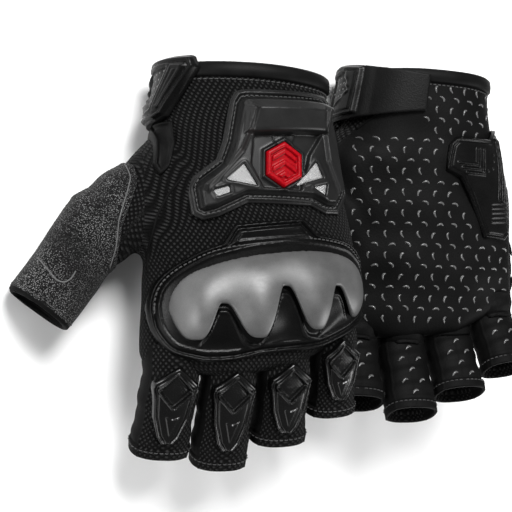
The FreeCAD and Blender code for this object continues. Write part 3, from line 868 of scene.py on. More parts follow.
# the back plate: its outline, then the forms raised from it or sunk into it
PLATE_OUTLINE = [(-15, 79.5), (-12, 80.5), (30, 83), (35, 80), (39, 64), (42.5, 39), (36, 30), (29, 29.5),
                 (21, 32.5), (-10, 32), (-23, 25.5), (-29, 24), (-33, 26), (-35, 37), (-33, 41), (-23, 49),
                 (-20, 58), (-17, 76)]
PLATE_BOX = (-40, 20, 0), (48, 88, 37)
PLATE_BAR = [(-13, 61), (-11.5, 76.5), (30, 80), (32.5, 77), (29, 65)]
PLATE_BAR_TOP = [(-10, 62), (-11, 76), (30, 79.5), (32, 77), (28, 65.5)]
PLATE_ARM = [(-13.5, 76), (-7, 72), (-9.5, 61), (-13, 53), (-28, 34.5), (-32, 37), (-31, 39.5), (-21, 47.5),
             (-18, 57), (-15.5, 68)]
PLATE_SIDE = [(28, 77), (33.5, 77), (36.5, 62), (39.5, 40), (36.5, 37), (29.5, 52), (28, 64)]
PLATE_WELL = [(-8, 61), (27, 65), (19.5, 54), (15, 37.5), (-3, 37.5), (-9, 48)]
PLATE_STUD = [(1, 61), (12, 62), (10, 57), (3, 57)]
WINDOWS = [[(-20, 40.5), (-12.5, 47.5), (-6.5, 38.5)], [(13.5, 40), (23, 51), (26.5, 44.5)],
           [(-25.5, 35.5), (-19, 37.5), (-18.5, 35), (-24, 33)], [(22, 39.5), (28.5, 41.5), (27.5, 36.5)]]
WINDOW_FLOOR, MESH_TOP = 2.0, 3.9
BADGE_X, BADGE_Y = 6.6, 48.5
BADGE_SEAT, BADGE_RADIUS, BADGE_RIM, BADGE_FIELD = 11.4, 10.4, 10.2, 7.4
BADGE_BOX = (-9, 35, 10), (20, 63, 34)


def raised(x, y, corners, rise, low=-0.5, high=1.6):
    """A form with sloping sides, which run from low to high, measured inwards from its outline."""
    return rise * ease(-polygon_distance(x, y, corners, 0.4), low, high)


def badge_distance(x, y, radius):
    """Signed distance to a hexagon round the badge's middle."""
    corners = [(radius * 0.96 * math.sin(math.radians(60 * k)), radius * math.cos(math.radians(60 * k)))
               for k in range(6)]
    return polygon_distance(x - BADGE_X + 0 * y, y - BADGE_Y + 0 * x, corners)


def plate_height(x, y):
    edge = polygon_distance(x, y, PLATE_OUTLINE, 0.6)
    height = 2.0 + 0.9 * ease(-edge, 0.2, 1.0) - ridge(edge, -2.7, 0.75, 1.6)
    height += 1.7 * ease(-edge, 3.8, 5.2)
    height += raised(x, y, PLATE_BAR, 2.0)
    crest = y - 72.5 - 0.08 * x
    height += raised(x, y, PLATE_BAR_TOP, 1.0) * (2.4 - np.abs(crest) * np.where(crest > 0, 0.6, 0.2))
    height += raised(x, y, PLATE_ARM, 2.6, -0.4, 2.8)
    height += raised(x, y, PLATE_SIDE, 2.0)
    height -= raised(x, y, PLATE_WELL, 2.4, -0.2, 1.0)
    height += raised(x, y, PLATE_STUD, 1.2, -0.2, 0.5)
    for points in WINDOWS:
        gap = polygon_distance(x, y, points)
        height += ridge(gap, 1.1, 0.7, 0.5)
        height += (WINDOW_FLOOR - height) * ease(-gap, -0.3, 0.3)
    return height + ridge(badge_distance(x, y, BADGE_SEAT), 0, 0.8, 1.4)


def make_plate(side):
    """The moulded plate on the back of the hand, the silver mesh in its windows, and its stitch line."""
    add_relief("back_plate_moulding", side, ["back_plate"], "satin",
               lambda x, y: polygon_distance(x, y, PLATE_OUTLINE, 1.2), plate_height, PLATE_BOX, voxel=0.45,
               soft=0.8)
    for k, points in enumerate(WINDOWS):
        (left, right), (near, far) = [(min(v) - 2, max(v) + 2) for v in zip(*points)]
        add_relief(f"plate_mesh_{k}", side, ["plate_mesh"] if k == 0 else [], "mesh",
                   lambda x, y: polygon_distance(x, y, points, 0.6), lambda x, y: MESH_TOP + 0 * x,
                   ((left, near, 2), (right, far, 34)), voxel=0.4)
    line = polyline(PLATE_OUTLINE, 0.8, closed=True, smooth=3)
    points, normals = drop_on(lambda x, y, z: hand_distance(x, y, z) - plate_height(x, y) - 0.1,
                              inset(line, 1.9))
    add_piece("plate_stitch", side, "hand", stitches(points, normals, *EDGE_THREAD, 0.34), "thread")


def make_badge(side):
    """A plain red hexagon with a raised rim and plain chevrons."""
    def height(x, y):
        rim = badge_distance(x, y, BADGE_RIM)
        value = 4.3 + 0.7 * ease(-rim, -0.1, 0.6) - 1.3 * ease(-rim, 1.7, 2.4)
        fold = np.abs(x - BADGE_X) * 0.62 + (y - BADGE_Y)
        chevrons = ease(np.sin(fold * 1.25 + 0.4), -0.15, 0.35)
        return value + 1.15 * ease(-badge_distance(x, y, BADGE_FIELD), -0.1, 0.6) * chevrons

    add_relief("badge_hexagon", side, ["badge"], "badge",
               lambda x, y: badge_distance(x, y, BADGE_RADIUS), height, BADGE_BOX, low=1.0, voxel=0.35,
               soft=0.6)


# ---------------------------------------------------------------- the knuckle guard
GUARD_X, GUARD_Y, GUARD_TILT = 2.0, -11.0, 0.13
GUARD_BOX = (-55, -46, 0), (60, 30, 38)
DOME_RADII, DOME_POWER, DOME_Z = (49.0, 27.0, 26.0), 2.3, 5.0
SHELL_THICK, SHELL_FOOT, CORE_SHRINK = 2.3, 3.2, 3.0
# the hard shell's edge towards the fingers: tops of the arches and tips of the lobes in turn
LOBES = [(-50, -9), (-32, -29.5), (-22, -14), (-5, -28.5), (5.5, -6), (23, -24.5), (31.5, -5), (47, -18.5),
         (53, -5)]
GUARD_OUTLINE = [(-51, -15), (-49, -5), (-42, 2), (-28, 10), (-10, 15), (10, 18), (27, 18), (43, 16), (53, 9),
                 (56, -4), (54, -17), (43, -25), (27, -32), (12, -33.5), (-3, -35), (-14, -38), (-28, -38.5),
                 (-42, -35), (-49, -26)]
GUARD_TAB = [(-22, 9), (-15, 20.5), (16, 24.5), (27, 15)]
GUARD_LINE = polyline(GUARD_OUTLINE, 1.6, closed=True, smooth=8)


def guard_edge(x, y):
    return smooth_min(polygon_distance(x, y, GUARD_LINE, 0.6), polygon_distance(x, y, GUARD_TAB, 0.8), 1.5)


def lobe_line(x):
    """Y of the hard shell's edge towards the fingers: pointed lobes between rounded arches."""
    xs, ys = np.array(LOBES, float).T
    t = np.clip(np.searchsorted(xs, x) - 1, 0, len(xs) - 2)
    s = np.clip((x - xs[t]) / (xs[t + 1] - xs[t]), 0, 1)
    low, high = np.minimum(ys[t], ys[t + 1]), np.maximum(ys[t], ys[t + 1])
    s = np.where(ys[t + 1] > ys[t], s, 1 - s)
    return low + (high - low) * ease(np.clip((s - 0.06) / 0.86, 0, 1) ** 1.35, 0, 1)


def dome_distance(x, y, z, shrink):
    """The hard shell's dome, or one that is smaller all round."""
    dx = x - GUARD_X
    radii = [radius - shrink for radius in DOME_RADII]
    return rounded_distance((dx, y - GUARD_Y - GUARD_TILT * dx, z - DOME_Z), radii, DOME_POWER, 1 / radii[0])


def knuckle_swell(x, y):
    """Four soft rises over the knuckles, with valleys between them."""
    return 1.3 * np.cos((x + 5) * 2 * math.pi / 27.5) * ease(-y, -8, 20)


def make_knuckle_guard(side):
    """The hard shell with its lobes, on a soft base with a rolled edge and a stitch line."""
    def base(x, y, z):
        skin = hand_distance(x, y, z)
        fx, fy = flat_pair(x, y)
        edge = guard_edge(fx, fy)
        top = 2.2 + 1.1 * ease(-edge, 0.2, 1.0) - ridge(edge, -2.3, 0.7, 1.4) + ridge(edge, -4.2, 0.5, 0.6)
        tab = polygon_distance(fx, fy, GUARD_TAB, 0.2)
        top += 0.5 * ease(-tab, 2.0, 2.6) * ease(fy, 16.5 + 0.09 * fx, 17.5 + 0.09 * fx)
        slab = smooth_max(edge[..., None], skin - top[..., None], 0.8)
        core = dome_distance(x, y, z, CORE_SHRINK) - 0.8 * knuckle_swell(x, y)
        below = fy - lobe_line(fx)
        line = ridge(below, -3.6, 0.8, 0.9) - 0.7 * ease(below, -2.8, -1.5)
        core = smooth_max(core - line[..., None], -(skin - 0.4), 0.5)
        return np.maximum(smooth_max(smooth_min(slab, core, 1.6), 0.3 - skin, 0.3), -z)

    def shell(x, y, z):
        outer = dome_distance(x, y, z, 0.0) - knuckle_swell(x, y)
        fx, fy = flat_pair(x, y)
        cut = (lobe_line(fx) - fy)[..., None] * 0.55
        rim = dome_distance(x, y, 0 * z + DOME_Z, 0.6)
        solid = smooth_max(outer, -(outer + SHELL_THICK), 0.4)
        solid = smooth_max(smooth_max(solid, cut, 1.0), rim, 1.0)
        return np.maximum(smooth_max(solid, SHELL_FOOT - hand_distance(x, y, z), 0.4), -z)

    add_piece("knuckle_rubber", side, "hand", surface_of(base, *GUARD_BOX, 0.55), "rubber",
              ["knuckle_base", "knuckle_foam"])
    add_piece("knuckle_cap", side, "hand", surface_of(shell, *GUARD_BOX, 0.5), "shell", ["knuckle_shell"])
    line = inset(GUARD_LINE, 2.1)
    line = line[line[:, 1] > -14 + 0.1 * line[:, 0]]
    line = polyline(line[np.argsort(line[:, 0])], 0.8)
    points, normals = drop_on(lambda x, y, z: hand_distance(x, y, z) - 2.5, line)
    add_piece("guard_stitch", side, "hand", stitches(points, normals, *EDGE_THREAD, 0.36), "thread")


# ---------------------------------------------------------------- the fingers
# the radius of the bend on a finger's back, and where the seams run, over the back and under the palm alike
BACK_RADIUS = 21.6
SEAM_DEGREES = (38, 142)
# points round a finger's cloth and round a hem
COLUMNS, HEM_POINTS = 96, 120
FINGER_START, HEM_STITCH = -17, 3.6
GUARD_TOP = -12.0
GUARD_SHORT = {"index": 7.5, "middle": 9.5, "ring": 6.5, "little": 8.5}


def finger_section(finger, s):
    """Half width and half depth at distance s along the straight part; negative s lies inside the hand."""
    t = np.clip(s / LENGTH[finger], 0, 1)
    wide = HALF_WIDTH[finger] + 0.5 * t - 0.35 + 0.35 * np.sin(s * 0.31)
    return wide, FINGER_DEEP + 0.4 - 1.0 * t + 1.6 * np.clip(-s / 10, 0, 1)


def finger_path(side, finger, s):
    """Centre point and frame axes (across, along, up) at s."""
    x, y = ROOT[finger]
    fan = Matrix.Rotation(math.radians(FAN[finger]), 4, "Z")
    curl = math.radians(CURL[side])
    bend = FINGER_DEEP * curl
    if s <= -bend:
        angle, centre = 0.0, Vector((0, -(s + bend), 0))
    elif s < 0:
        angle = (s + bend) / FINGER_DEEP
        centre = Vector((0, -FINGER_DEEP * math.sin(angle), FINGER_DEEP * (math.cos(angle) - 1)))
    else:
        angle = curl
        centre = Vector((0, -FINGER_DEEP * math.sin(curl) - s * math.cos(curl),
                         FINGER_DEEP * (math.cos(curl) - 1) - s * math.sin(curl)))
    turn = fan @ Matrix.Rotation(angle, 4, "X")
    base = Matrix.Translation((x, y, 0)) @ fan
    return base @ centre, turn.to_3x3()


def finger_ring(finger, s, columns, lift=0.0):
    """Angles round the finger, from the middle of its palm side, and the section's points there."""
    angles = np.linspace(0, 2 * math.pi, columns + 1)[:-1] - math.pi / 2
    wide, deep = finger_section(finger, s)
    return angles, *oval_point(angles, wide + lift, deep + lift, FINGER_POWER)


def make_finger_cloth(side, finger):
    """A half-length finger with four raised seams and a thick hem: knit, side strips and leather."""
    length = LENGTH[finger]
    stations = np.concatenate([np.arange(FINGER_START, length - 5.5, 1.0), length - np.array([5.2, 4.9, 4.6]),
                               np.linspace(length - 4.2, length, 6)])
    phase = random.Random(f"{side}{finger}").uniform(0, 6)
    girth = 3.2 * (HALF_WIDTH[finger] + FINGER_DEEP)
    seams = [sign * degree for sign in (1, -1) for degree in SEAM_DEGREES]
    rows, weave = [], []
    for s in stations:
        angles, x, z = finger_ring(finger, s, COLUMNS)
        degrees = np.degrees(angles)
        hem = 0.55 * ease(s, length - 5.0, length - 4.5) - ridge(s, length - 5.1, 0.35, 0.35)
        seam = sum(ridge((degrees - at + 180) % 360, 180, 2.2, 1) for at in seams)
        wrinkle = 0.35 * np.sin(s * 0.75 + phase + 1.2 * np.cos(angles))
        wrinkle *= (1 - ease(s, length - 8, length - 5)) * (0.4 + 0.6 * np.clip(-np.sin(angles), 0, 1))
        lift = hem + 0.45 * seam + wrinkle
        centre, turn = finger_path(side, finger, s)
        swell = 1 + lift / np.hypot(x, z)
        rows.append(np.stack([x * swell, 0 * x, z * swell], 1) @ np.array(turn).T + np.array(centre))
        around = girth * (0.5 - (angles + math.pi / 2) / (2 * math.pi))
        weave.append(np.stack([ROOT[finger][0] + around, ROOT[finger][1] - s + 0 * around, 0 * around], 1))
    faces, choice = [], []
    for row in range(0, (len(stations) - 1) * COLUMNS, COLUMNS):
        for i in range(COLUMNS):
            j = (i + 1) % COLUMNS
            faces.append((row + i, row + j, row + COLUMNS + j, row + COLUMNS + i))
            degree = 360 * (i + 0.5) / COLUMNS - 90
            palm = abs(degree + 90) < 90 - SEAM_DEGREES[0] or degree > 360 - SEAM_DEGREES[1]
            choice.append(0 if SEAM_DEGREES[0] < degree < SEAM_DEGREES[1] else 2 if palm else 1)
    cloths = [MATERIAL[cloth] for cloth in ("knit", "fourchette", "leather")]
    obj = build(f"{finger}_finger_cloth", side, np.concatenate(rows), faces, cloths, np.concatenate(weave),
                choice)
    thicken(obj, CLOTH)
    bend_finger(obj)
    stand_for(side, [f"{finger}_sleeve"])


def make_finger_hem(side, finger):
    """The ring of stitches round the hem."""
    at = LENGTH[finger] - HEM_STITCH
    _, x, z = finger_ring(finger, at, HEM_POINTS, 0.6)
    centre, turn = finger_path(side, finger, at)
    points = np.array([centre + turn @ Vector((px, 0, pz)) for px, pz in zip(x, z)])
    normals = np.array([(turn @ Vector((px / 13, 0, pz / 10))).normalized() for px, pz in zip(x, z)])
    add_piece(f"{finger}_hem_stitch", side, f"{finger}_finger",
              stitches(closed_line(points), closed_line(normals), *HEM_THREAD, 0.24), "thread")


def bend_finger(obj):
    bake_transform(obj)


def finger_coordinates(side, finger, x, y, z):
    """Across, along (measured on the back of the finger) and up, following the finger's bend."""
    rx, ry = x - ROOT[finger][0], y - ROOT[finger][1]
    c, s = math.cos(math.radians(FAN[finger])), math.sin(math.radians(FAN[finger]))
    across, ahead, up = rx * c + ry * s, rx * s - ry * c, z + FINGER_DEEP
    curl = math.radians(CURL[side])
    bend = curl * BACK_RADIUS
    turn = np.arctan2(ahead, up)
    straight = ahead * math.cos(curl) - up * math.sin(curl)
    rise = ahead * math.sin(curl) + up * math.cos(curl)
    along = np.where(turn < 0, ahead - bend, np.where(turn < curl, (turn - curl) * BACK_RADIUS, straight))
    height = np.where(turn < 0, up + 0 * ahead, np.where(turn < curl, np.hypot(ahead, up), rise))
    height -= FINGER_DEEP
    return across + 0 * height, along + 0 * height, height


def make_finger_guard(side, finger):
    """A moulded shield: chevron rim, diamond window with a textured floor, and ridges to a point."""
    tip = LENGTH[finger] - GUARD_SHORT[finger]
    wide = HALF_WIDTH[finger] * 0.76
    window = [(0, -8.5), (wide * 0.72, -2.5), (0, 5), (-wide * 0.72, -2.5)]
    dart = [(0, tip * 0.42), (wide * 0.34, tip * 0.36), (0, tip * 0.8), (-wide * 0.34, tip * 0.36)]
    half = [(wide, -5.5), (wide * 1.02, -2.5), (wide * 0.92, 2), (wide * 0.8, tip * 0.45),
            (wide * 0.5, tip * 0.82), (wide * 0.16, tip)]
    outline = [(0, GUARD_TOP)] + half + [(-a, b) for a, b in reversed(half)]

    def relief(x, y, z):
        across, along, up = finger_coordinates(side, finger, x, y, z)
        skin = oval_distance(across, up, *finger_section(finger, along), FINGER_POWER)
        edge = polygon_distance(across, along, outline, 0.5)
        hole = polygon_distance(across, along, window)
        rise = 0.9 + 1.5 * ease(-edge, -0.1, 0.9) - ridge(edge, -2.0, 0.6, 0.9)
        rise += ridge(hole, 0.7, 0.45, 0.9) - 1.3 * ease(-hole, -0.2, 0.6)
        rise += ridge(along - GUARD_TOP - np.abs(across) * 0.66, 1.6, 0.7, 0.8)
        rise += 0.8 * ease(-polygon_distance(across, along, dart), -0.2, 0.6)
        rise += 0.2 * np.sin(across * 4.4) * np.sin(along * 4.4) * ease(-hole, 0.5, 1.0)
        solid = smooth_max(smooth_max(edge, skin - rise, 0.6), 0.1 - skin, 0.3)
        return np.maximum(solid, 2.0 - up)

    x, y = ROOT[finger]
    far, _ = finger_path(side, finger, tip)
    low = (min(x, far.x) - wide - 3, far.y - 4, far.z + 1)
    high = (max(x, far.x) + wide + 3, y + 8, FINGER_DEEP + 5)
    obj = build(f"{finger}_guard_moulding", side, *surface_of(relief, low, high, 0.36), [MATERIAL["gloss"]])
    bend_finger(obj)
    stand_for(side, [f"{finger}_guard"])


# ---------------------------------------------------------------- the thumb, the seams and the palm
# the inner edge of the suede patch: distance back from the thumb's hem, and across the thumb
PATCH_ALONG, PATCH_ACROSS = (28, 31, 38, 48, 68, 78), (26, 20, 12, 6, 0, -9)
PATCH_LENGTH = 74
PATCH_BOX = (-124, -50, -30), (THUMB_SPLIT_X - 3, 66, 34)
THUMB_HEM_PROFILE = [(2.6, -1.6), (2.9, 0.2), (2.4, 0.9), (0, 1.1), (-2.4, 0.9), (-2.9, 0.2), (-2.6, -1.6)]
THUMB_HEM_INSET = 2.6


def make_thumb_patch(side):
    """The suede over the thumb's outer half."""
    def patch(x, y, z):
        tx, ty, tz = to_thumb(side, x, y, z)
        skin = glove_distance(side, x, y, z)
        sine, cosine = math.sin(PATCH_LEAN), math.cos(PATCH_LEAN)
        along = (tx - THUMB_END[0]) * -sine + (ty - THUMB_END[1]) * -cosine
        across = (tx - THUMB_END[0]) * cosine - (ty - THUMB_END[1]) * sine
        edge = (across - np.interp(-along, PATCH_ALONG, PATCH_ACROSS)) * 0.8
        area = smooth_max(smooth_max(edge, along + 0.8, 1.0), -(along + PATCH_LENGTH), 1.0)
        around = smooth_max(area, -(tz + 9), 1.5)
        return smooth_max(smooth_max(around, skin - 1.0, 0.6), -skin - 0.5, 0.3)

    v, f = surface_of(patch, *PATCH_BOX, 0.7)
    obj = build("thumb_suede", side, v, f, [MATERIAL["suede"]], thumb_weave(side, v))
    bend_thumb(obj)
    stand_for(side, ["thumb_patch"])


def thumb_ring(side, back):
    """Points round the thumb, at a distance back from its hem."""
    end, wide, deep = THUMB[-1]
    start = THUMB[-2][0]
    axis = Vector((end[0] - start[0], end[1] - start[1], 0)).normalized()
    across = Vector((-axis.y, axis.x, 0))
    centre = Vector((*end, 0)) - axis * back
    place = thumb_place(side)
    turns = [2 * math.pi * k / HEM_POINTS for k in range(HEM_POINTS)]
    return np.array([place @ (centre + across * (wide * math.cos(a)) + Vector((0, 0, deep * math.sin(a))))
                     for a in turns])


def make_thumb_hem(side):
    """The band round the thumb's opening, and its stitches."""
    def tube(x, y, z):
        return thumb_distance(side, x, y, z) + folds(x, y, z)

    points, normals = project_to(tube, thumb_ring(side, THUMB_HEM_INSET))
    axis = np.array(thumb_hem_plane(side)[1])
    normals = normals - (normals @ axis)[:, None] * axis
    normals /= np.linalg.norm(normals, axis=1, keepdims=True)
    add_piece("thumb_hem", side, "thumb", sweep(points, normals, THUMB_HEM_PROFILE, closed=True),
              "fourchette")
    add_piece("thumb_hem_stitch", side, "thumb",
              stitches(closed_line(points), closed_line(normals), *HEM_THREAD, 0.24, 1.15), "thread")


def thumb_points(side, pairs):
    """Points on the back of the thumb from (distance back from the hem, across) pairs."""
    place = thumb_place(side)
    back, across = polyline(pairs, 0.8, smooth=4).T
    x = THUMB_END[0] + back * math.sin(THUMB_LEAN) + across * math.cos(THUMB_LEAN)
    y = THUMB_END[1] + back * math.cos(THUMB_LEAN) - across * math.sin(THUMB_LEAN)
    moved = [place @ Vector((a, b, 0)) for a, b in zip(x, y)]
    return drop_on(lambda px, py, pz: glove_distance(side, px, py, pz) - 1.0, [(p.x, p.y) for p in moved])


# the pale loop near the thumb's hem and the seam along the suede's edge, and their radii
THUMB_PIPES = (([(17, -13), (14.5, -7), (12.5, -1.5), (13.5, 2), (17, 3.5), (21, 3)], 0.35),
               ([(31, 15), (38, 12), (48, 6), (68, 0), (73, -5)], 0.32))


def make_thumb_piping(side):
    """A pale curve of piping near the thumb's hem, and the seam where suede meets knit."""
    v, f = join_meshes([sweep(*thumb_points(side, pairs), round_profile(radius, 7))
                        for pairs, radius in THUMB_PIPES])
    bend_thumb(build("thumb_piping", side, v, f, [MATERIAL["piping"]]))


GUSSET_SEAM = [(-38, 42), (-44, 34), (-48.5, 24), (-50.5, 12), (-50, 0)]
SEAM_SINK = 0.25


def make_seams(side):
    """Piping down the little-finger side, and the seams of the thumb's gusset and the palm's knit wedge."""
    field = field_of(side)
    y = np.arange(CUFF_Y - 7, -26, -1.0)
    points = hand_points(np.zeros(len(y)) - 0.03, y)
    points[:, 2] = SIDE_SEAM_Z
    x = np.arange(-41, -8, 1.0)
    wedge = np.stack([x, gusset_line(x)], 1)
    seams = [(*project_to(field, points), 0.9), (*drop_on(field, polyline(GUSSET_SEAM, 1.0, smooth=3)), 0.7),
             (*drop_on(field, wedge[wedge[:, 1] < CUFF_Y - 6], side=-1), 0.8)]
    pipes = [sweep(line - up * SEAM_SINK, up, round_profile(radius)) for line, up, radius in seams]
    add_piece("seam_piping", side, "hand", join_meshes(pipes), "fourchette")


# rows and columns of grip marks on the palm and on the fingers, and the middle line of one mark
GRIP_ROW, GRIP_COLUMN, GRIP_SIDES = 5.4, 8.4, 8
FINGER_GRIP_ROW, FINGER_GRIP_SIDE = 6.0, 4.6
CRESCENT = np.array([(1.6 * t, 0.8 * t - 1.1 * t * t) for t in np.linspace(-1, 1, 9)])


def grip_mark(points, normals):
    """One crescent ridge, tapered to both ends."""
    t = np.linspace(-1, 1, len(points))
    taper = np.sqrt(np.clip(1 - t * t * 0.9, 0.05, 1))[:, None, None]
    v, f = sweep(points, normals, round_profile(0.62, GRIP_SIDES, 0.95))
    middle = points[:, None, :]
    return (middle + (v.reshape(len(points), GRIP_SIDES, 3) - middle) * taper).reshape(-1, 3), f


def on_bare_leather(x, y):
    """Whether the palm's leather is bare here: clear of the seams, the strap and the slider."""
    inside = front_line(x) + 5 < y < min(gusset_line(x) - 3, CUFF_Y - 8)
    on_strap = x < -10 and y > 62
    on_slider = polygon_distance(np.array([x]), np.array([y]), SLIDER_OUTLINE)[0] < 3.0
    return inside and not on_strap and not on_slider


def make_palm_grip(side):
    """Raised glossy marks in a staggered grid over the palm leather."""
    field = field_of(side)
    rng = random.Random(f"{side}_grip")
    parts = []
    for row, y in enumerate(np.arange(-34, 90, GRIP_ROW)):
        for x in np.arange(-44 + GRIP_COLUMN / 2 * (row % 2), 48, GRIP_COLUMN):
            if not on_bare_leather(x, y):
                continue
            turn = 0.9 * (-1) ** row + 0.5 * rng.uniform(-1, 1)
            spun = CRESCENT @ np.array([[math.cos(turn), math.sin(turn)], [-math.sin(turn), math.cos(turn)]])
            points, normals = drop_on(field, spun + (x, y), side=-1)
            if normals[len(normals) // 2, 2] < -0.3:
                parts.append(grip_mark(points, normals))
    add_piece("palm_grip_marks", side, "hand", join_meshes(parts), "grip")


def make_finger_grip(side, finger):
    """The same marks, one and two to a row, on the inside of a finger."""
    parts = []
    for row, s in enumerate(np.arange(3, LENGTH[finger] - 6, FINGER_GRIP_ROW)):
        for x in (-FINGER_GRIP_SIDE, FINGER_GRIP_SIDE) if row % 2 else (0,):
            across, along = x + CRESCENT[:, 0], s - CRESCENT[:, 1]
            wide, deep = finger_section(finger, along)
            lift = deep * (1 - np.abs(across / wide) ** FINGER_POWER) ** (1 / FINGER_POWER) + 0.15
            frames = [finger_path(side, finger, float(a)) for a in along]
            points = np.array([c + m @ Vector((a, 0, -h)) for (c, m), a, h in zip(frames, across, lift)])
            normals = np.array([m @ Vector((0, 0, -1)) for _, m in frames])
            parts.append(grip_mark(points, normals))
    add_piece(f"{finger}_grip_marks", side, f"{finger}_finger", join_meshes(parts), "grip")


SLIDER_OUTLINE = [(4, 43), (6.5, 56), (10, 59.5), (32, 60.5), (38, 67.5), (44, 70), (49, 68), (51, 44),
                  (47.5, 38), (46, 34), (44.5, 12), (41, 8.5), (28, 9), (23, 20), (18, 31), (13, 39.5)]
SLIDER_BOX = (4, 8, -32), (58, 76, 2)
SLIDER_DOTS = ((34, 53), (34, 49.5), (33, 45.5), (29.5, 44), (26, 43))


def slider_height(x, y):
    """Height over the palm: a grooved rim, nested corners, two long ribs, five short ones and a few dots."""
    edge = polygon_distance(x, y, SLIDER_OUTLINE, 0.6)
    height = 1.6 + 1.3 * ease(-edge, 0.1, 1.0) - ridge(edge, -2.2, 0.6, 0.9)
    for k in range(3):
        offset = 2.4 * k
        corner = np.maximum(x - (22 + offset), (46.5 - offset) - y)
        height += ridge(corner, 0, 0.6, 1.2) * ease(x, 9.5 + offset, 11 + offset) * ease(56 - y, 0, 1.5)
    for shift in (0.0, 3.0):
        rib = x - (38.0 + shift) + 0.005 * (y - 45) ** 2
        height += ridge(rib, 0, 0.6, 1.2) * ease(y, 27, 30) * ease(64 - y, 0, 3)
    for k in range(5):
        rib = y - (17.5 + 2.4 * k) - 0.1 * (x - 36)
        height += ridge(rib, 0, 0.5, 0.6) * ease(x, 30, 32) * ease(43 - x, 0, 2)
    for px, py in SLIDER_DOTS:
        height += 0.9 * np.exp(-((x - px) ** 2 + (y - py) ** 2) / 0.35)
    return height


def make_slider(side):
    """The hard slider on the heel of the palm."""
    add_relief("palm_slider_moulding", side, ["palm_slider"], "rubber",
               lambda x, y: polygon_distance(x, y, SLIDER_OUTLINE, 0.8), slider_height, SLIDER_BOX,
               voxel=0.45, soft=0.8, face_side=-1)


SLIT_OUTLINE = [(-49, 68), (-42, 67), (-41.5, 57), (-45, 46), (-48, 43), (-50, 47), (-48.5, 58)]
SLIT_BOX = (-56, 36, 0), (-37, 74, 30)


def make_wrist_slit(side):
    """The lined slit below the strap: a dark tongue with a rolled edge."""
    def edge(x, y):
        return polygon_distance(x, y, SLIT_OUTLINE, 1.0)

    add_relief("wrist_slit_lining", side, ["loop_patch"], "neoprene", edge,
               lambda x, y: 0.35 + ridge(edge(x, y), -1.0, 1.0, 1.7), SLIT_BOX, low=-0.8, voxel=0.45,
               field=field_of(side))


PAD_MIDDLE, PAD_HALF, PAD_DEPTH, PAD_THICK = (-8, -8), (27, 16), 2.1, 2.4
PAD_BOX = (-38, -28, -30), (22, 12, 2)


def make_inside(side):
    """The foam pad behind the palm leather, and the fork webs, which only show from inside."""
    def outline(x, y):
        return oval_distance(x - PAD_MIDDLE[0], y - PAD_MIDDLE[1], *PAD_HALF)

    pad = add_relief("palm_pad_foam", side, ["palm_pad"], "lining", outline,
                     lambda x, y: -PAD_DEPTH - 0.7 * ease(outline(x, y), -9, 0), PAD_BOX,
                     low=-PAD_DEPTH - PAD_THICK, face_side=-1)
    webs = frame["nodes"][f"{side}_finger_webs"]
    webs.data.materials.clear()
    webs.data.materials.append(MATERIAL["fourchette"])


def make_glove(side):
    make_skin(side)
    make_cuff(side)
    make_strap(side)
    make_plate(side)
    make_badge(side)
    make_knuckle_guard(side)
    for finger in FINGERS:
        make_finger_cloth(side, finger)
        make_finger_hem(side, finger)
        make_finger_guard(side, finger)
    make_thumb_patch(side)
    make_thumb_hem(side)
    make_thumb_piping(side)
    make_seams(side)
    make_palm_grip(side)
    for finger in FINGERS:
        make_finger_grip(side, finger)
    make_slider(side)
    make_wrist_slit(side)
    make_inside(side)


# ---------------------------------------------------------------- the studio, in metres
FLOOR_REACH, FLOOR_Z = 3.0, -0.0016
WORLD_STRENGTH = 0.22
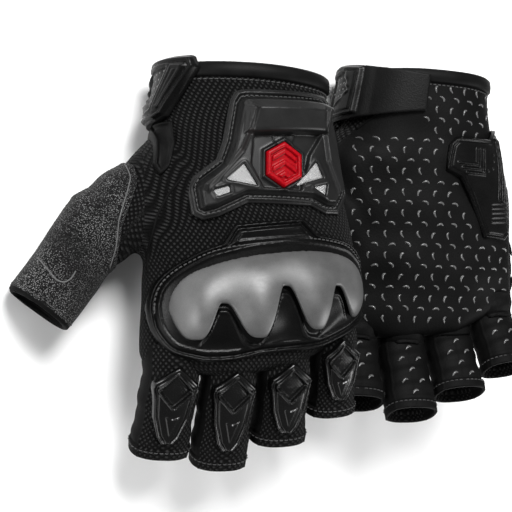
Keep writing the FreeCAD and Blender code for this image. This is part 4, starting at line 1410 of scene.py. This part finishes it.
# place, the height of the point aimed at, size and power
LIGHTS = {"key": ((-0.25, 0.65, 0.9), 0.03, 0.45, 18), "fill": ((0.75, -0.45, 0.75), 0.03, 0.5, 7),
          "side": ((-0.95, -0.1, 0.4), 0.04, 0.4, 6)}
CAMERA_TILT, CAMERA_ROLL = math.radians(39.2), math.radians(2.1)
CAMERA_DISTANCE = 0.5
CAMERA_AIM = (-0.0212, -0.0008, 0.035)
CAMERA_LENS, CAMERA_SENSOR = 74.5, 36


def make_floor():
    """A plain pale floor, just under the lowest piece."""
    mesh = bpy.data.meshes.new("floor")
    corners = [(x * FLOOR_REACH, y * FLOOR_REACH, 0) for x, y in ((-1, -1), (1, -1), (1, 1), (-1, 1))]
    mesh.from_pydata(corners, [], [(0, 1, 2, 3)])
    mesh.materials.append(Nodes("floor_paint").finish(0.9, 0.9, specular=0.1))
    floor = bpy.data.objects.new("floor", mesh)
    bpy.context.collection.objects.link(floor)
    floor.location.z = FLOOR_Z


def make_lights():
    world = bpy.data.worlds.new("studio")
    world.use_nodes = True
    background = world.node_tree.nodes["Background"]
    background.inputs["Color"].default_value = (1, 1, 1, 1)
    background.inputs["Strength"].default_value = WORLD_STRENGTH
    bpy.context.scene.world = world
    for name, (place, aim_z, size, power) in LIGHTS.items():
        data = bpy.data.lights.new(name, "AREA")
        data.size = size
        data.energy = power
        light = bpy.data.objects.new(name, data)
        light.location = place
        light.rotation_euler = (Vector((0, 0, aim_z)) - Vector(place)).to_track_quat("-Z", "Y").to_euler()
        bpy.context.collection.objects.link(light)
    bpy.context.scene.view_settings.view_transform = "Standard"


def make_camera():
    """Above the gloves and to one side of them, rolled a little, as in the photograph."""
    data = bpy.data.cameras.new("camera")
    data.lens = CAMERA_LENS
    data.sensor_width = CAMERA_SENSOR
    camera = bpy.data.objects.new("camera", data)
    back = Vector((-math.sin(CAMERA_TILT), 0, math.cos(CAMERA_TILT)))
    across = Vector((math.cos(CAMERA_TILT), 0, math.sin(CAMERA_TILT)))
    turn = Matrix((across, Vector((0, 1, 0)), back)).transposed()
    camera.rotation_euler = (turn @ Matrix.Rotation(CAMERA_ROLL, 3, "Z")).to_euler()
    camera.location = Vector(CAMERA_AIM) + back * CAMERA_DISTANCE
    bpy.context.collection.objects.link(camera)
    bpy.context.scene.camera = camera


for glove_side in ("left", "right"):
    make_glove(glove_side)
make_floor()
make_lights()
make_camera()
